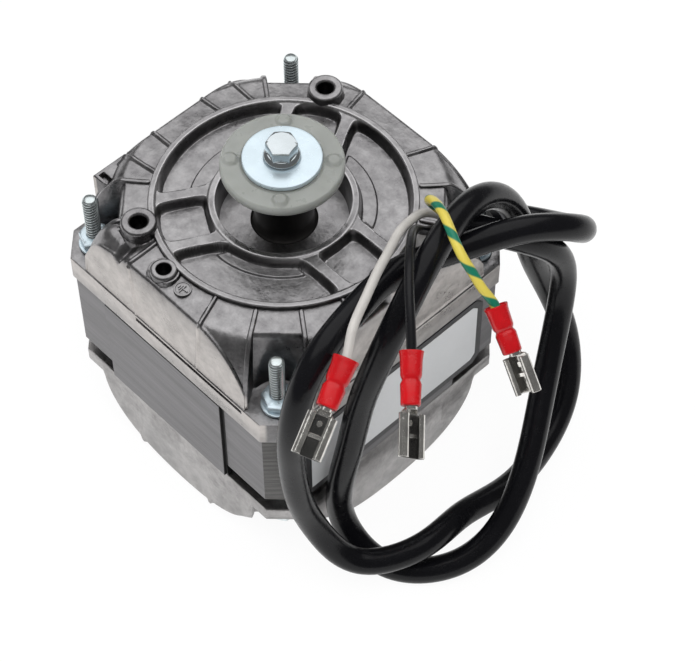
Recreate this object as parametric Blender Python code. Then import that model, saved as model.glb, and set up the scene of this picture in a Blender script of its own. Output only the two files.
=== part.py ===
# Cooler fan motor: square cast brackets, laminated core, blade hub and looped cable.
# Lengths are written in millimetres and scaled once by MM. +Z is the shaft, z = 0 the rear face.
import bpy
import bmesh
from math import sin, cos, pi, radians, asin, sqrt
from mathutils import Vector, Matrix
import numpy as np

for old in list(bpy.data.objects):
    bpy.data.objects.remove(old, do_unlink=True)

MM = 0.001
GAP = 0.3                # clearance between pieces that touch

# square body
BODY_WIDTH = 84.0        # across the flats of both brackets
BODY_CUT = 6.4           # corner cut of the front flange
CORE_INSET = 0.8         # core's sides inside the brackets' sides
CORE_CUT = 5.8
CORE_HEIGHT = 32.0
CORE_STEP = 5.0          # height of the open gap under the core's corners
CORE_STEP_HALF = 21.0    # half width of the core where it sits on the rear band
REAR_HEIGHT = 26.0
REAR_BAND = 5.0
FLANGE_THICK = 8.0
WALL = 3.0               # casting wall over the end turns
SIDE_DRAFT = 0.8         # lean of the cover's side faces over their height

# front cover, heights above the flange top
RING_INSET = 8.0         # ring's outer edge inside the brackets' sides
RING_WIDTH = 1.9
RING_TOP = 20.0
SHOULDER_INSET = 0.8     # where the shoulder starts to fall, inside the brackets' sides
SHOULDER_TOP = 17.9
SHOULDER_REACH = 9.8     # from there to the foot of the fall
SIDE_INSET = 13.2        # corner pockets' width, from the brackets' sides
POCKET_FLOOR = 16.2
SPOKE_TOP = 18.8
SPOKE_NEAR = 6.4         # spoke flanks, measured from the middle of a small pocket
SPOKE_FAR = 9.2
HUB_RING_OUT = 18.9
HUB_RING_IN = 16.8
WELL_FLOOR = 12.0
TOWER_RADIUS = 9.3
TOWER_TOP = 26.5
BACK_WALL_OUT = 2.0      # corner pocket's flat along the diagonal, beyond the half width
RECESS_RADIUS = 6.2
RECESS_HEIGHT = 9.0
BOSS_INSET = 5.3
BOSS_RADIUS = 4.6
BOSS_TOP = 21.9
BOSS_HOLE = 2.1
EARTH_INSET = 5.5
EARTH_ANGLE = 263.9
EARTH_RADIUS = 3.5
EARTH_TOP = 20.2
EARTH_HOLE = 1.85
DISC_RADIUS = 2.25
DISC_TOP = 18.9
DISC_TURN = 11.0         # degrees on from the earth boss
RIB_WIDTH = 1.3
RIB_PROUD = 0.6
CORNER_RIB = 9.1         # degrees either side of each diagonal
HOOD_Y0 = -27.3
HOOD_Y1 = -15.5
HOOD_TOP = 15.2
HOOD_DEPTH = 9.0

# tie studs
STUD_INSET = 7.55        # from the brackets' sides, along X and along Y
STUD_RADIUS = 2.0
STUD_PROUD = 18.4
NUT_FLATS = 7.0
NUT_HEIGHT = 3.2
WASHER_RADIUS = 4.3
WASHER_THICK = 0.9

# rotor and bearings
SHAFT_RADIUS = 3.0
BUSH_RADIUS = 7.0
BUSH_LENGTH = 11.0
CAP_THICK = 1.0
ROTOR_RADIUS = 17.0
ROTOR_AIR = 0.5
SLOT_COUNT = 12
SLOT_IN = 19.6
SLOT_WALL = 9.8          # core left outside the slots
SLOT_HALF_ANGLE = 9.0
COIL_REACH = 11.0        # end turns beyond the core
COIL_INSET = 8.0         # end turns' outer side inside the brackets' sides
COIL_IN = 21.0
HUB_RADIUS = 15.5
HUB_THICK = 3.0
HUB_TOP = 34.5
NUB_RADIUS = 1.9
NUB_HEIGHT = 1.3
NUB_CIRCLE = 12.7
HUB_WASHER_RADIUS = 10.0
HUB_WASHER_THICK = 1.3
HUB_RECESS = 0.2         # shallow seat of the washer in the hub's face
BOLT_FLATS = 7.0
BOLT_FLANGE_RADIUS = 4.5
BOLT_HEAD = 3.6
BOLT_RADIUS = 1.9
BOLT_REACH = 12.0

# rating plate, cable and terminals
LABEL_Y0 = -33.0
LABEL_Y1 = 30.5
LABEL_TOP = 9.0          # below the flange top
LABEL_HEIGHT = 27.5
LABEL_THICK = 0.3
CABLE_RADIUS = 3.5
WIRE_RADIUS = 1.2
GLAND_X = 26.0
GLAND_DROP = 5.0         # gland's centre below the flange top
GLAND_RADIUS = 6.0
GLAND_REACH = 3.8
REAR_FOOT_INSET = 9.0    # flat of the rear face inside the brackets' sides
DOME_REACH = 17.2        # from the flat to the foot of the dome at the band
TAB_LEFT = 23.5          # proud middle of the core on the -Y side
TAB_RIGHT = 20.5
TAB_INSET = 0.1
SLIT_LEFT = 10.0         # slot in the front flange on the -Y side
SLIT_RIGHT = 29.0
SLIT_DEPTH = 1.2
SLIT_TOP = 0.6
SLIT_LOW = 2.0
SLEEVE_LENGTH = 14.0
SLEEVE_HALF = 3.0
TERMINAL_LENGTH = 12.6
TERMINAL_WIDTH = 7.2
TERMINAL_SHEET = 0.8

CABLE_ROUTE = [(26, 44, 61), (26.1, 47.5, 61), (36.5, 56.5, 60.5), (49.5, 55, 70.5), (56.5, 47, 84), (51.5, 33.5, 91),
               (44.5, 18, 91), (39.5, 1.5, 92), (41, -15.5, 92.5), (44.5, -32, 90), (46, -40, 76), (45.5, -40.5, 58.5),
               (46, -39, 41.5), (48.5, -35.5, 25.5), (57.5, -29.5, 13.5), (66, -15, 14), (65, 1.5, 10),
               (65.5, 18, 5.5), (63, 35, 5), (57.5, 49.5, 10.5), (49, 57, 23), (42.5, 55.5, 38.5), (41, 50, 54.5),
               (40.5, 45, 71), (39, 38.5, 87), (40, 26, 97.5), (44.5, 9, 99.5), (49.5, -6.5, 95),
               (50, -15.5, 82), (48, -19.5, 65.5), (47.5, -23, 48.5), (46.5, -25.5, 31.5), (48.5, -25, 15),
               (60, -21.5, 5), (72, -9, 5), (75, 5, 11), (71.5, 18, 22.5), (64, 30.5, 31), (56.5, 42.5, 41),
               (52, 49.5, 56), (51, 45, 71.5), (46, 34, 82.5), (34.5, 23, 88.4)]
WHITE_ROUTE = [(29.9, 20.5, 89.2), (31.3, 13.5, 93.6), (34, 6.5, 97), (37.5, -0.5, 99), (40.5, -7, 100),
               (44, -14.5, 99.5), (47, -21.5, 97), (50, -26, 94.5), (52.3, -31.3, 92)]
BLACK_ROUTE = [(34.1, 17.5, 88.6), (34.6, 13.3, 93), (36.5, 9, 98), (41.5, 3, 102.5), (47.5, -3.5, 105),
               (52.5, -8.5, 105), (57, -12.5, 103), (61.5, -16.5, 100), (65.4, -20.4, 97.4)]
EARTH_ROUTE = [(32.6, 20.5, 94), (32.8, 18, 98.8), (36.5, 16, 103), (42.5, 13, 106), (47.5, 10.5, 106),
               (53, 8.5, 104), (56.5, 8.5, 101), (60, 8.5, 98), (63.5, 9, 95), (67.3, 8, 91.8)]
VIEW_SIDE = Vector((0.42, -0.4, 0.81))   # the terminals' open side

# levels that follow from the sizes
Z_CORE = REAR_HEIGHT
Z_FRONT = REAR_HEIGHT + CORE_HEIGHT
Z_FLANGE = Z_FRONT + FLANGE_THICK
HALF = BODY_WIDTH / 2
CORE_HALF = HALF - CORE_INSET
RING_OUT = HALF - RING_INSET
RING_IN = RING_OUT - RING_WIDTH
SHOULDER_START = HALF - SHOULDER_INSET
SIDE_HALF = HALF - SIDE_INSET
BACK_WALL = HALF + BACK_WALL_OUT
BOSS_CIRCLE = HALF - BOSS_INSET
EARTH_CIRCLE = HALF - EARTH_INSET
STUD_PITCH = HALF - STUD_INSET
SLOT_OUT = CORE_HALF - SLOT_WALL
COIL_OUT = HALF - COIL_INSET
REAR_FOOT = HALF - REAR_FOOT_INSET
TOWER_Z = Z_FLANGE + TOWER_TOP
HUB_Z = Z_FLANGE + HUB_TOP
BORE_RADIUS = SHAFT_RADIUS + GAP
SEAT_RADIUS = BUSH_RADIUS + GAP


def material(name, colour, rough, metal, alpha=1.0):
    mat = bpy.data.materials.new(name)
    mat.use_nodes = True
    node = mat.node_tree.nodes["Principled BSDF"]
    node.inputs["Base Color"].default_value = (colour[0], colour[1], colour[2], 1.0)
    node.inputs["Roughness"].default_value = rough
    node.inputs["Metallic"].default_value = metal
    node.inputs["Alpha"].default_value = alpha
    mat.diffuse_color = (colour[0], colour[1], colour[2], alpha)
    return mat


def finish(name, bm, mat=None, smooth=30):
    bmesh.ops.remove_doubles(bm, verts=bm.verts, dist=1e-7)
    bmesh.ops.recalc_face_normals(bm, faces=bm.faces)
    mesh = bpy.data.meshes.new(name)
    bm.to_mesh(mesh)
    bm.free()
    if smooth:
        mesh.shade_smooth()
        mesh.set_sharp_from_angle(angle=radians(smooth))
    obj = bpy.data.objects.new(name, mesh)
    bpy.context.scene.collection.objects.link(obj)
    if mat:
        obj.data.materials.append(mat)
    return obj


def turned(name, profile, steps=48, mat=None, closed=False, centre=(0, 0)):
    # profile of (radius, height) spun about +Z
    bm = bmesh.new()
    verts = [bm.verts.new((r * MM, 0, z * MM)) for r, z in profile]
    pairs = list(zip(verts[:-1], verts[1:]))
    if closed:
        pairs.append((verts[-1], verts[0]))
    edges = [bm.edges.new(pair) for pair in pairs]
    bmesh.ops.spin(bm, geom=verts + edges, cent=(0, 0, 0), axis=(0, 0, 1), angle=2 * pi, steps=steps, use_merge=True)
    bmesh.ops.remove_doubles(bm, verts=bm.verts, dist=1e-7)
    bmesh.ops.translate(bm, verts=bm.verts, vec=(centre[0] * MM, centre[1] * MM, 0))
    return finish(name, bm, mat)


def loft(name, lower, upper, z0, z1, mat=None):
    # two outlines of equal count joined by straight walls
    bm = bmesh.new()
    low = [bm.verts.new((x * MM, y * MM, z0 * MM)) for x, y in lower]
    top = [bm.verts.new((x * MM, y * MM, z1 * MM)) for x, y in upper]
    bm.faces.new(low)
    bm.faces.new(top)
    count = len(low)
    for i in range(count):
        j = (i + 1) % count
        bm.faces.new((low[i], low[j], top[j], top[i]))
    return finish(name, bm, mat)


def prism(name, outline, z0, z1, mat=None):
    return loft(name, outline, outline, z0, z1, mat)


def box(name, x0, x1, y0, y1, z0, z1, mat=None):
    return prism(name, [(x0, y0), (x1, y0), (x1, y1), (x0, y1)], z0, z1, mat)


def cylinder(name, x, y, radius, z0, z1, steps=24, mat=None):
    outline = [(x + radius * cos(2 * pi * i / steps), y + radius * sin(2 * pi * i / steps)) for i in range(steps)]
    return prism(name, outline, z0, z1, mat)


def hexagon(name, x, y, flats, z0, z1, mat=None, turn=0.0):
    radius = flats / sqrt(3)
    outline = [(x + radius * cos(pi * i / 3 + turn), y + radius * sin(pi * i / 3 + turn)) for i in range(6)]
    return prism(name, outline, z0, z1, mat)


def combine(obj, tool, operation):
    tool.hide_render = True
    tool.display_type = 'WIRE'
    mod = obj.modifiers.new("shape", 'BOOLEAN')
    mod.operation = operation
    mod.object = tool
    graph = bpy.context.evaluated_depsgraph_get()
    mesh = bpy.data.meshes.new_from_object(obj.evaluated_get(graph))
    obj.modifiers.clear()
    old = obj.data
    obj.data = mesh
    bpy.data.meshes.remove(old)
    bpy.data.objects.remove(tool, do_unlink=True)
    obj.data.shade_smooth()
    obj.data.set_sharp_from_angle(angle=radians(30))
    return obj


def cut(obj, *tools):
    for tool in tools:
        combine(obj, tool, 'DIFFERENCE')
    return obj


def fuse(obj, *tools):
    for tool in tools:
        combine(obj, tool, 'UNION')
    return obj


def cut_square(half, corner):
    inner = half - corner
    return [(inner, -half), (half, -inner), (half, inner), (inner, half),
            (-inner, half), (-half, inner), (-half, -inner), (-inner, -half)]


def around(outline, angle):
    c, s = cos(angle), sin(angle)
    return [(x * c - y * s, x * s + y * c) for x, y in outline]


def sector(r0, r1, a0, a1, b0, b1, steps):
    # outline between an inner arc a0..a1 and an outer arc b0..b1
    outer = [(r1 * cos(b0 + (b1 - b0) * i / steps), r1 * sin(b0 + (b1 - b0) * i / steps)) for i in range(steps + 1)]
    inner = [(r0 * cos(a1 + (a0 - a1) * i / steps), r0 * sin(a1 + (a0 - a1) * i / steps)) for i in range(steps + 1)]
    return outer + inner


def pocket_outlines(r_in, r_out):
    shapes = []
    for k in range(3):
        mid = k * 2 * pi / 3
        a, b = asin(SPOKE_NEAR / r_in), asin(SPOKE_NEAR / r_out)
        shapes.append(sector(r_in, r_out, mid - a, mid + a, mid - b, mid + b, 5))
        a, b = asin(SPOKE_FAR / r_in), asin(SPOKE_FAR / r_out)
        following = mid + 2 * pi / 3
        shapes.append(sector(r_in, r_out, mid + a, following - a, mid + b, following - b, 12))
    return shapes


def shrink(outline, amount):
    # moves each corner toward the outline's middle
    cx = sum(p[0] for p in outline) / len(outline)
    cy = sum(p[1] for p in outline) / len(outline)
    span = max(sqrt((x - cx) ** 2 + (y - cy) ** 2) for x, y in outline)
    k = 1 - amount / span
    return [(cx + (x - cx) * k, cy + (y - cy) * k) for x, y in outline]


castAlloy = material("cast_alloy", (0.42, 0.42, 0.42), 0.5, 0.6)
rearAlloy = material("rear_alloy", (0.4, 0.4, 0.4), 0.55, 0.6)
steelSheet = material("steel_sheet", (0.26, 0.25, 0.25), 0.5, 0.7)
enamel = material("winding_enamel", (0.45, 0.16, 0.05), 0.4, 0.3)
bronze = material("sintered_bronze", (0.45, 0.3, 0.14), 0.5, 0.8)
spring = material("spring_steel", (0.5, 0.5, 0.5), 0.35, 0.9)
stud = material("stud_steel", (0.5, 0.48, 0.42), 0.35, 0.9)
zinc = material("bright_zinc", (0.62, 0.72, 0.78), 0.3, 0.9)
foil = material("label_foil", (0.37, 0.41, 0.45), 0.4, 0.2)
rubberBlack = material("gland_rubber", (0.02, 0.02, 0.02), 0.6, 0.0)
sheathBlack = material("sheath_black", (0.02, 0.02, 0.022), 0.4, 0.0)
wireWhite = material("wire_white", (0.75, 0.72, 0.66), 0.45, 0.0)
wireBlack = material("wire_black", (0.02, 0.02, 0.02), 0.45, 0.0)
wireEarth = material("wire_earth", (0.75, 0.68, 0.06), 0.45, 0.0)
sleeveRed = material("sleeve_red", (0.5, 0.01, 0.01), 0.35, 0.0)
tinned = material("tinned_brass", (0.5, 0.49, 0.47), 0.35, 0.9)
ground = material("ground_steel", (0.6, 0.6, 0.6), 0.25, 1.0)
rotorSteel = material("rotor_steel", (0.3, 0.3, 0.3), 0.5, 0.7)
nylon = material("milky_nylon", (0.66, 0.68, 0.64), 0.4, 0.0, 0.9)
fibre = material("fibre_washer", (0.3, 0.18, 0.1), 0.7, 0.0)

CORNERS = [pi / 4 + k * pi / 2 for k in range(4)]
STUDS = [(STUD_PITCH * sx, STUD_PITCH * sy) for sx, sy in ((1, 1), (-1, 1), (-1, -1), (1, -1))]


def corner_pocket(z0, z1, draft):
    # plan of the pocket that frees one stud, drawn for the corner at +X +Y
    flat = BACK_WALL * sqrt(2)
    far = HALF + 2
    rib = SIDE_HALF
    inner = flat - (rib - 2.3)
    half = [(rib, far), (rib, HALF - 1), (rib - 2.3, inner)]
    low = half + [(y, x) for x, y in reversed(half)] + [(far, far)]
    top = [(x - draft, y - draft) for x, y in low[:-1]] + [(far, far)]
    return [loft("pocket", around(low, k * pi / 2), around(top, k * pi / 2), z0, z1) for k in range(4)]


# front bracket: a turned cover kept inside the square, then its pockets, bosses and ribs
F = Z_FLANGE
fall = [(SHOULDER_START + SHOULDER_REACH * u, F + SHOULDER_TOP * (1 - u ** 1.6) ** (1 / 1.5)) for u in (0.1, 0.24, 0.42, 0.62, 0.8, 0.93, 1)]
cover = [(0, F - 3), (SHOULDER_START + SHOULDER_REACH, F - 3)] + fall[::-1] + [
    (SHOULDER_START - 0.5, F + SHOULDER_TOP + 0.05), (RING_OUT + 0.6, F + SPOKE_TOP - 0.2), (RING_OUT, F + RING_TOP - 0.7),
    (RING_OUT - 0.5, F + RING_TOP), (RING_IN + 0.5, F + RING_TOP), (RING_IN, F + RING_TOP - 0.5),
    (RING_IN, F + SPOKE_TOP), (HUB_RING_OUT, F + SPOKE_TOP), (HUB_RING_OUT, F + RING_TOP - 0.7),
    (HUB_RING_OUT - 0.4, F + RING_TOP - 0.3), (HUB_RING_IN + 0.4, F + RING_TOP - 0.3),
    (HUB_RING_IN, F + RING_TOP - 0.7), (HUB_RING_IN, F + WELL_FLOOR), (TOWER_RADIUS + 1.6, F + WELL_FLOOR),
    (TOWER_RADIUS, F + WELL_FLOOR + 1.6), (TOWER_RADIUS, TOWER_Z - 0.8), (TOWER_RADIUS - 0.8, TOWER_Z), (0, TOWER_Z)]
bracket = turned("front_bracket", cover, 32, castAlloy)
slim = HALF - SIDE_DRAFT
square = loft("square", [(-HALF, -HALF), (HALF, -HALF), (HALF, HALF), (-HALF, HALF)], [(-slim, -slim), (slim, -slim), (slim, slim), (-slim, slim)],
              F, F + SHOULDER_TOP)
fuse(square, box("above", -slim, slim, -slim, slim, F + SHOULDER_TOP - 0.01, F + 60), box("below", -HALF, HALF, -HALF, HALF, F - 10, F + 0.01))
combine(bracket, square, 'INTERSECT')
cut(bracket, *corner_pocket(F, F + 26, 3.0))
for x, y in STUDS:
    arch = [(0, F - 1), (RECESS_RADIUS, F - 1), (RECESS_RADIUS, F + RECESS_HEIGHT), (RECESS_RADIUS * 0.85, F + RECESS_HEIGHT + 3),
            (RECESS_RADIUS * 0.5, F + RECESS_HEIGHT + 5), (0, F + RECESS_HEIGHT + 5.6)]
    cut(bracket, turned("recess", arch, 10, centre=(x, y)))
fuse(bracket, prism("flange", cut_square(HALF, BODY_CUT), Z_FRONT + GAP, F))

# thin ribs that run over the shoulder: the same fall, a little larger, kept between rib planes
ribCover = [(RING_OUT - 1, F - 3), (SHOULDER_START + SHOULDER_REACH, F - 3)] + [(r + RIB_PROUD / 2, z + RIB_PROUD) for r, z in fall[::-1][1:]] + [
    (RING_OUT + 0.6, F + SPOKE_TOP + RIB_PROUD - 0.3), (RING_OUT - 1, F + SPOKE_TOP)]
ribs = turned("ribs", ribCover, 32, closed=True)
stations = [(-12, -12.5, 3), (10.5, 13.8, 3), (-10.5, -13.8, 0), (10.5, 13.8, 0), (-10.5, -13.5, 1), (12, 12.5, 1),
            (-8.5, -8.2, 2), (8.5, 8.2, 2), (16, 18, 2)]
plans = [around([(RING_OUT - 2, a - RIB_WIDTH / 2), (HALF, b - RIB_WIDTH / 2), (HALF, b + RIB_WIDTH / 2), (RING_OUT - 2, a + RIB_WIDTH / 2)], side * pi / 2)
         for a, b, side in stations]
plans += [around([(RING_OUT - 2, -RIB_WIDTH / 2), (SHOULDER_START + SHOULDER_REACH - 1, -RIB_WIDTH / 2), (SHOULDER_START + SHOULDER_REACH - 1, RIB_WIDTH / 2),
                  (RING_OUT - 2, RIB_WIDTH / 2)], corner + swing) for corner in CORNERS for swing in (-radians(CORNER_RIB), radians(CORNER_RIB))]
strips = bmesh.new()
for plan in plans:
    low = [strips.verts.new((x * MM, y * MM, (F - 1) * MM)) for x, y in plan]
    top = [strips.verts.new((x * MM, y * MM, (F + 40) * MM)) for x, y in plan]
    strips.faces.new(low)
    strips.faces.new(top)
    for i in range(4):
        strips.faces.new((low[i], low[(i + 1) % 4], top[(i + 1) % 4], top[i]))
combine(ribs, finish("strips", strips), 'INTERSECT')
combine(ribs, box("square", -HALF, HALF, -HALF, HALF, F - 10, F + 60), 'INTERSECT')
fuse(bracket, ribs)

# screw bosses, earth boss and the small raised disc beside it
bosses = [(BOSS_CIRCLE * cos(k * 2 * pi / 3), BOSS_CIRCLE * sin(k * 2 * pi / 3), BOSS_RADIUS, BOSS_TOP) for k in range(3)]
earth = radians(EARTH_ANGLE)
bosses.append((EARTH_CIRCLE * cos(earth), EARTH_CIRCLE * sin(earth), EARTH_RADIUS, EARTH_TOP))
for x, y, radius, top in bosses:
    post = [(0, F + 5), (radius + 0.6, F + 5), (radius + 0.3, F + 17), (radius, F + top - 0.5), (radius - 0.5, F + top), (0, F + top)]
    fuse(bracket, turned("boss", post, 14, centre=(x, y)))
side = radians(EARTH_ANGLE + DISC_TURN)
fuse(bracket, cylinder("disc", EARTH_CIRCLE * cos(side), EARTH_CIRCLE * sin(side), DISC_RADIUS, F + 10, F + DISC_TOP, 14))

# cable hood on the -X side, an outline in Y and Z drawn on the side face
hood = bmesh.new()
outline = [(HOOD_Y0 + 2.6, F - 1), (HOOD_Y0 + 2.3, F + 5), (HOOD_Y0, F + 11.6), (HOOD_Y0, F + HOOD_TOP - 0.9), (HOOD_Y0 + 0.9, F + HOOD_TOP),
           (HOOD_Y1 - 0.9, F + HOOD_TOP), (HOOD_Y1, F + HOOD_TOP - 0.9), (HOOD_Y1, F - 1)]
near = [hood.verts.new((-HALF * MM, y * MM, z * MM)) for y, z in outline]
back = [hood.verts.new(((-HALF + HOOD_DEPTH) * MM, y * MM, z * MM)) for y, z in outline]
hood.faces.new(near)
hood.faces.new(back)
for i in range(len(near)):
    j = (i + 1) % len(near)
    hood.faces.new((near[i], near[j], back[j], back[i]))
fuse(bracket, finish("hood", hood))
cut(bracket, box("slot", -HALF - 1, -HALF + HOOD_DEPTH - 2, HOOD_Y0 + 1.3, HOOD_Y0 + 3.1, F + 12.4, F + HOOD_TOP + 4))
cut(bracket, box("notch", -HALF - 1, -HALF + 3, HOOD_Y1 - 1.8, HOOD_Y1 - 0.7, F + 13.4, F + HOOD_TOP + 4))

# blind pockets between the spokes, then the bores
for shape in pocket_outlines(HUB_RING_OUT, RING_IN):
    cut(bracket, loft("pocket", shrink(shape, 0.5), shape, F + POCKET_FLOOR, F + RING_TOP + 3))
for x, y, radius, top in bosses[:3]:
    sink = [(0, F + 8), (BOSS_HOLE, F + 8), (BOSS_HOLE, F + top - 0.5), (BOSS_HOLE + 0.6, F + top + 0.1), (BOSS_HOLE + 0.6, F + top + 2), (0, F + top + 2)]
    cut(bracket, turned("screw", sink, 12, centre=(x, y)))
x, y, radius, top = bosses[3]
cut(bracket, cylinder("screw", x, y, EARTH_HOLE, F + 9, F + top + 2, 12))
for x, y in STUDS:
    cut(bracket, cylinder("stud_hole", x, y, STUD_RADIUS + GAP, Z_FRONT - 2, F + 3, 12))
cut(bracket, box("slit", -SLIT_LEFT, SLIT_RIGHT, -HALF - 1, -HALF + SLIT_DEPTH, F - SLIT_LOW, F - SLIT_TOP))

# hollow inside for the end turns, round the bearing tube that hangs from the cover
hollowTop = F + WELL_FLOOR - WALL
tube = SEAT_RADIUS + 2.0
hollow = [(0, Z_FRONT - 4), (COIL_OUT + 2, Z_FRONT - 4), (COIL_OUT + 2, hollowTop - 2), (COIL_OUT, hollowTop + 0.5),
          (COIL_OUT - 2, hollowTop + 1), (tube + 1, hollowTop), (tube, hollowTop - 1), (tube, hollowTop - 3), (0, hollowTop - 3)]
cut(bracket, turned("hollow", hollow, 18))
bushTop = TOWER_Z - 2.2
seat = [(0, Z_FRONT), (SEAT_RADIUS, Z_FRONT), (SEAT_RADIUS, bushTop + GAP), (BORE_RADIUS + 0.3, bushTop + GAP),
        (BORE_RADIUS + 0.3, TOWER_Z + 2), (0, TOWER_Z + 2)]
cut(bracket, turned("seat", seat, 16))

# rear bracket: band, dome and bearing seat
bandLow = REAR_HEIGHT - REAR_BAND
dome = [(REAR_FOOT + DOME_REACH * u, bandLow * (1 - (1 - u ** 2.3) ** (1 / 1.9))) for u in (0.25, 0.5, 0.7, 0.85, 0.95)]
dome = [(0, 0), (REAR_FOOT, 0)] + dome + [(REAR_FOOT + DOME_REACH, bandLow + 2), (0, bandLow + 2)]
rear = turned("rear_bracket", dome, 28, rearAlloy)
combine(rear, box("square", -CORE_HALF + 0.1, CORE_HALF - 0.1, -CORE_HALF + 0.1, CORE_HALF - 0.1, -10, REAR_HEIGHT), 'INTERSECT')
cut(rear, *corner_pocket(-2, bandLow, 0.0))
fuse(rear, prism("band", cut_square(CORE_HALF, CORE_CUT), bandLow, REAR_HEIGHT - GAP))
coilLow = Z_CORE - COIL_REACH
hollow = [(0, REAR_HEIGHT + 2), (0, 8), (tube, 8), (tube, 4.5), (tube + 1, WALL + 0.5), (COIL_OUT - 4, WALL + 0.5), (COIL_OUT, 5.5),
          (COIL_OUT + 2, 9), (COIL_OUT + 2, REAR_HEIGHT + 2)]
cut(rear, turned("hollow", hollow, 18))
tubeRise = BUSH_LENGTH + 4
fuse(rear, turned("tube", [(0, 1), (tube, 1), (tube, tubeRise), (0, tubeRise)], 16))
cut(rear, turned("seat", [(0, WALL), (SEAT_RADIUS, WALL), (SEAT_RADIUS, tubeRise + 2), (0, tubeRise + 2)], 16))
for x, y in STUDS:
    cut(rear, cylinder("stud_hole", x, y, STUD_RADIUS + GAP, bandLow - 3, REAR_HEIGHT + 2, 12))
for offset in (-15.0, 12.0):
    web = [(offset - 0.7, -CORE_HALF + 0.1), (offset + 0.7, -CORE_HALF + 0.1), (offset + 0.7, -HALF + 4), (offset - 0.7, -HALF + 4)]
    fuse(rear, prism("rib", web, 5, bandLow + 2))
ringCut = [(20, -2), (29, -2), (28, 1.6), (21, 1.6)]
cut(rear, turned("recess", ringCut, 24, closed=True))

# laminated core: stepped corners at the rear, slots round the bore
core = prism("stator_core", cut_square(CORE_HALF, CORE_CUT), Z_CORE, Z_FRONT - GAP, steelSheet)
for sx, sy in ((1, 1), (-1, 1), (-1, -1), (1, -1)):
    step = [(sx * CORE_STEP_HALF, sy * (HALF + 5)), (sx * CORE_STEP_HALF, sy * (HALF - 4)), (sx * (HALF - 10), sy * (HALF - 10)),
            (sx * (HALF - 4), sy * CORE_STEP_HALF), (sx * (HALF + 5), sy * CORE_STEP_HALF), (sx * (HALF + 5), sy * (HALF + 5))]
    cut(core, prism("step", step, Z_CORE - 2, Z_CORE + CORE_STEP))
fuse(core, box("tab", -TAB_LEFT, TAB_RIGHT, -HALF + TAB_INSET, -HALF + 5, Z_CORE + 0.2, Z_FRONT - GAP - 0.2))
cut(core, turned("bore", [(0, Z_CORE - 2), (ROTOR_RADIUS + ROTOR_AIR, Z_CORE - 2), (ROTOR_RADIUS + ROTOR_AIR, Z_FRONT + 2), (0, Z_FRONT + 2)], 30))
for k in range(SLOT_COUNT):
    mid = 2 * pi * k / SLOT_COUNT
    half = radians(SLOT_HALF_ANGLE)
    mouth = 1.0
    slot = [(SLOT_IN * cos(half), SLOT_IN * sin(half)), (SLOT_IN, mouth), (ROTOR_RADIUS - 1, mouth), (ROTOR_RADIUS - 1, -mouth), (SLOT_IN, -mouth),
            (SLOT_IN * cos(half), -SLOT_IN * sin(half)), (SLOT_OUT * cos(half), -SLOT_OUT * sin(half)), (SLOT_OUT, 0),
            (SLOT_OUT * cos(half), SLOT_OUT * sin(half))]
    cut(core, prism("slot", around(slot, mid), Z_CORE - 2, Z_FRONT + 2))
for x, y in STUDS:
    cut(core, cylinder("stud_hole", x, y, STUD_RADIUS + GAP, Z_CORE - 2, Z_FRONT + 2, 12))

# winding: one bar in each slot, end turns at both ends
coilHigh = Z_FRONT + COIL_REACH
front = [(COIL_IN + 1.5, Z_FRONT + 0.6), (COIL_OUT - 1.5, Z_FRONT + 0.6), (COIL_OUT, Z_FRONT + 2), (COIL_OUT - 1, coilHigh - 2.5), (COIL_OUT - 4, coilHigh),
         (COIL_IN + 3, coilHigh), (COIL_IN, Z_FRONT + 2)]
winding = turned("stator_winding", front, 18, enamel, closed=True)
lowTurns = [(r, Z_CORE + Z_FRONT - z) for r, z in front]
bars = []
for k in range(SLOT_COUNT):
    mid = 2 * pi * k / SLOT_COUNT
    half = radians(SLOT_HALF_ANGLE) - (GAP + 0.1) / SLOT_IN
    r0, r1 = SLOT_IN + GAP + 0.2, SLOT_OUT - GAP - 0.5
    bar = [(r0 * cos(half), -r0 * sin(half)), (r1 * cos(half), -r1 * sin(half)), (r1 * cos(half), r1 * sin(half)), (r0 * cos(half), r0 * sin(half))]
    bars.append(prism("bar", around(bar, mid), Z_CORE - 3, Z_FRONT + 3))
fuse(winding, *bars)
fuse(winding, turned("low_turns", lowTurns, 18, closed=True))


def ring(name, r0, r1, z0, z1, steps, mat, ease=0.3):
    profile = [(r0, z0), (r1 - ease, z0), (r1, z0 + ease), (r1, z1 - ease), (r1 - ease, z1), (r0, z1)]
    return turned(name, profile, steps, mat, closed=True)


# bearing bushes and the rings that hold them
ring("front_bush", BORE_RADIUS, BUSH_RADIUS, bushTop - BUSH_LENGTH, bushTop, 12, bronze)
ring("front_bearing_cap", BORE_RADIUS + 0.7, BUSH_RADIUS, bushTop - BUSH_LENGTH - GAP - CAP_THICK, bushTop - BUSH_LENGTH - GAP, 12, spring, 0.2)
rearBush = WALL + GAP
ring("rear_bush", BORE_RADIUS, BUSH_RADIUS, rearBush, rearBush + BUSH_LENGTH - 1, 12, bronze)
rearCap = rearBush + BUSH_LENGTH - 1 + GAP
ring("rear_bearing_cap", BORE_RADIUS + 0.7, BUSH_RADIUS, rearCap, rearCap + CAP_THICK, 12, spring, 0.2)

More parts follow.
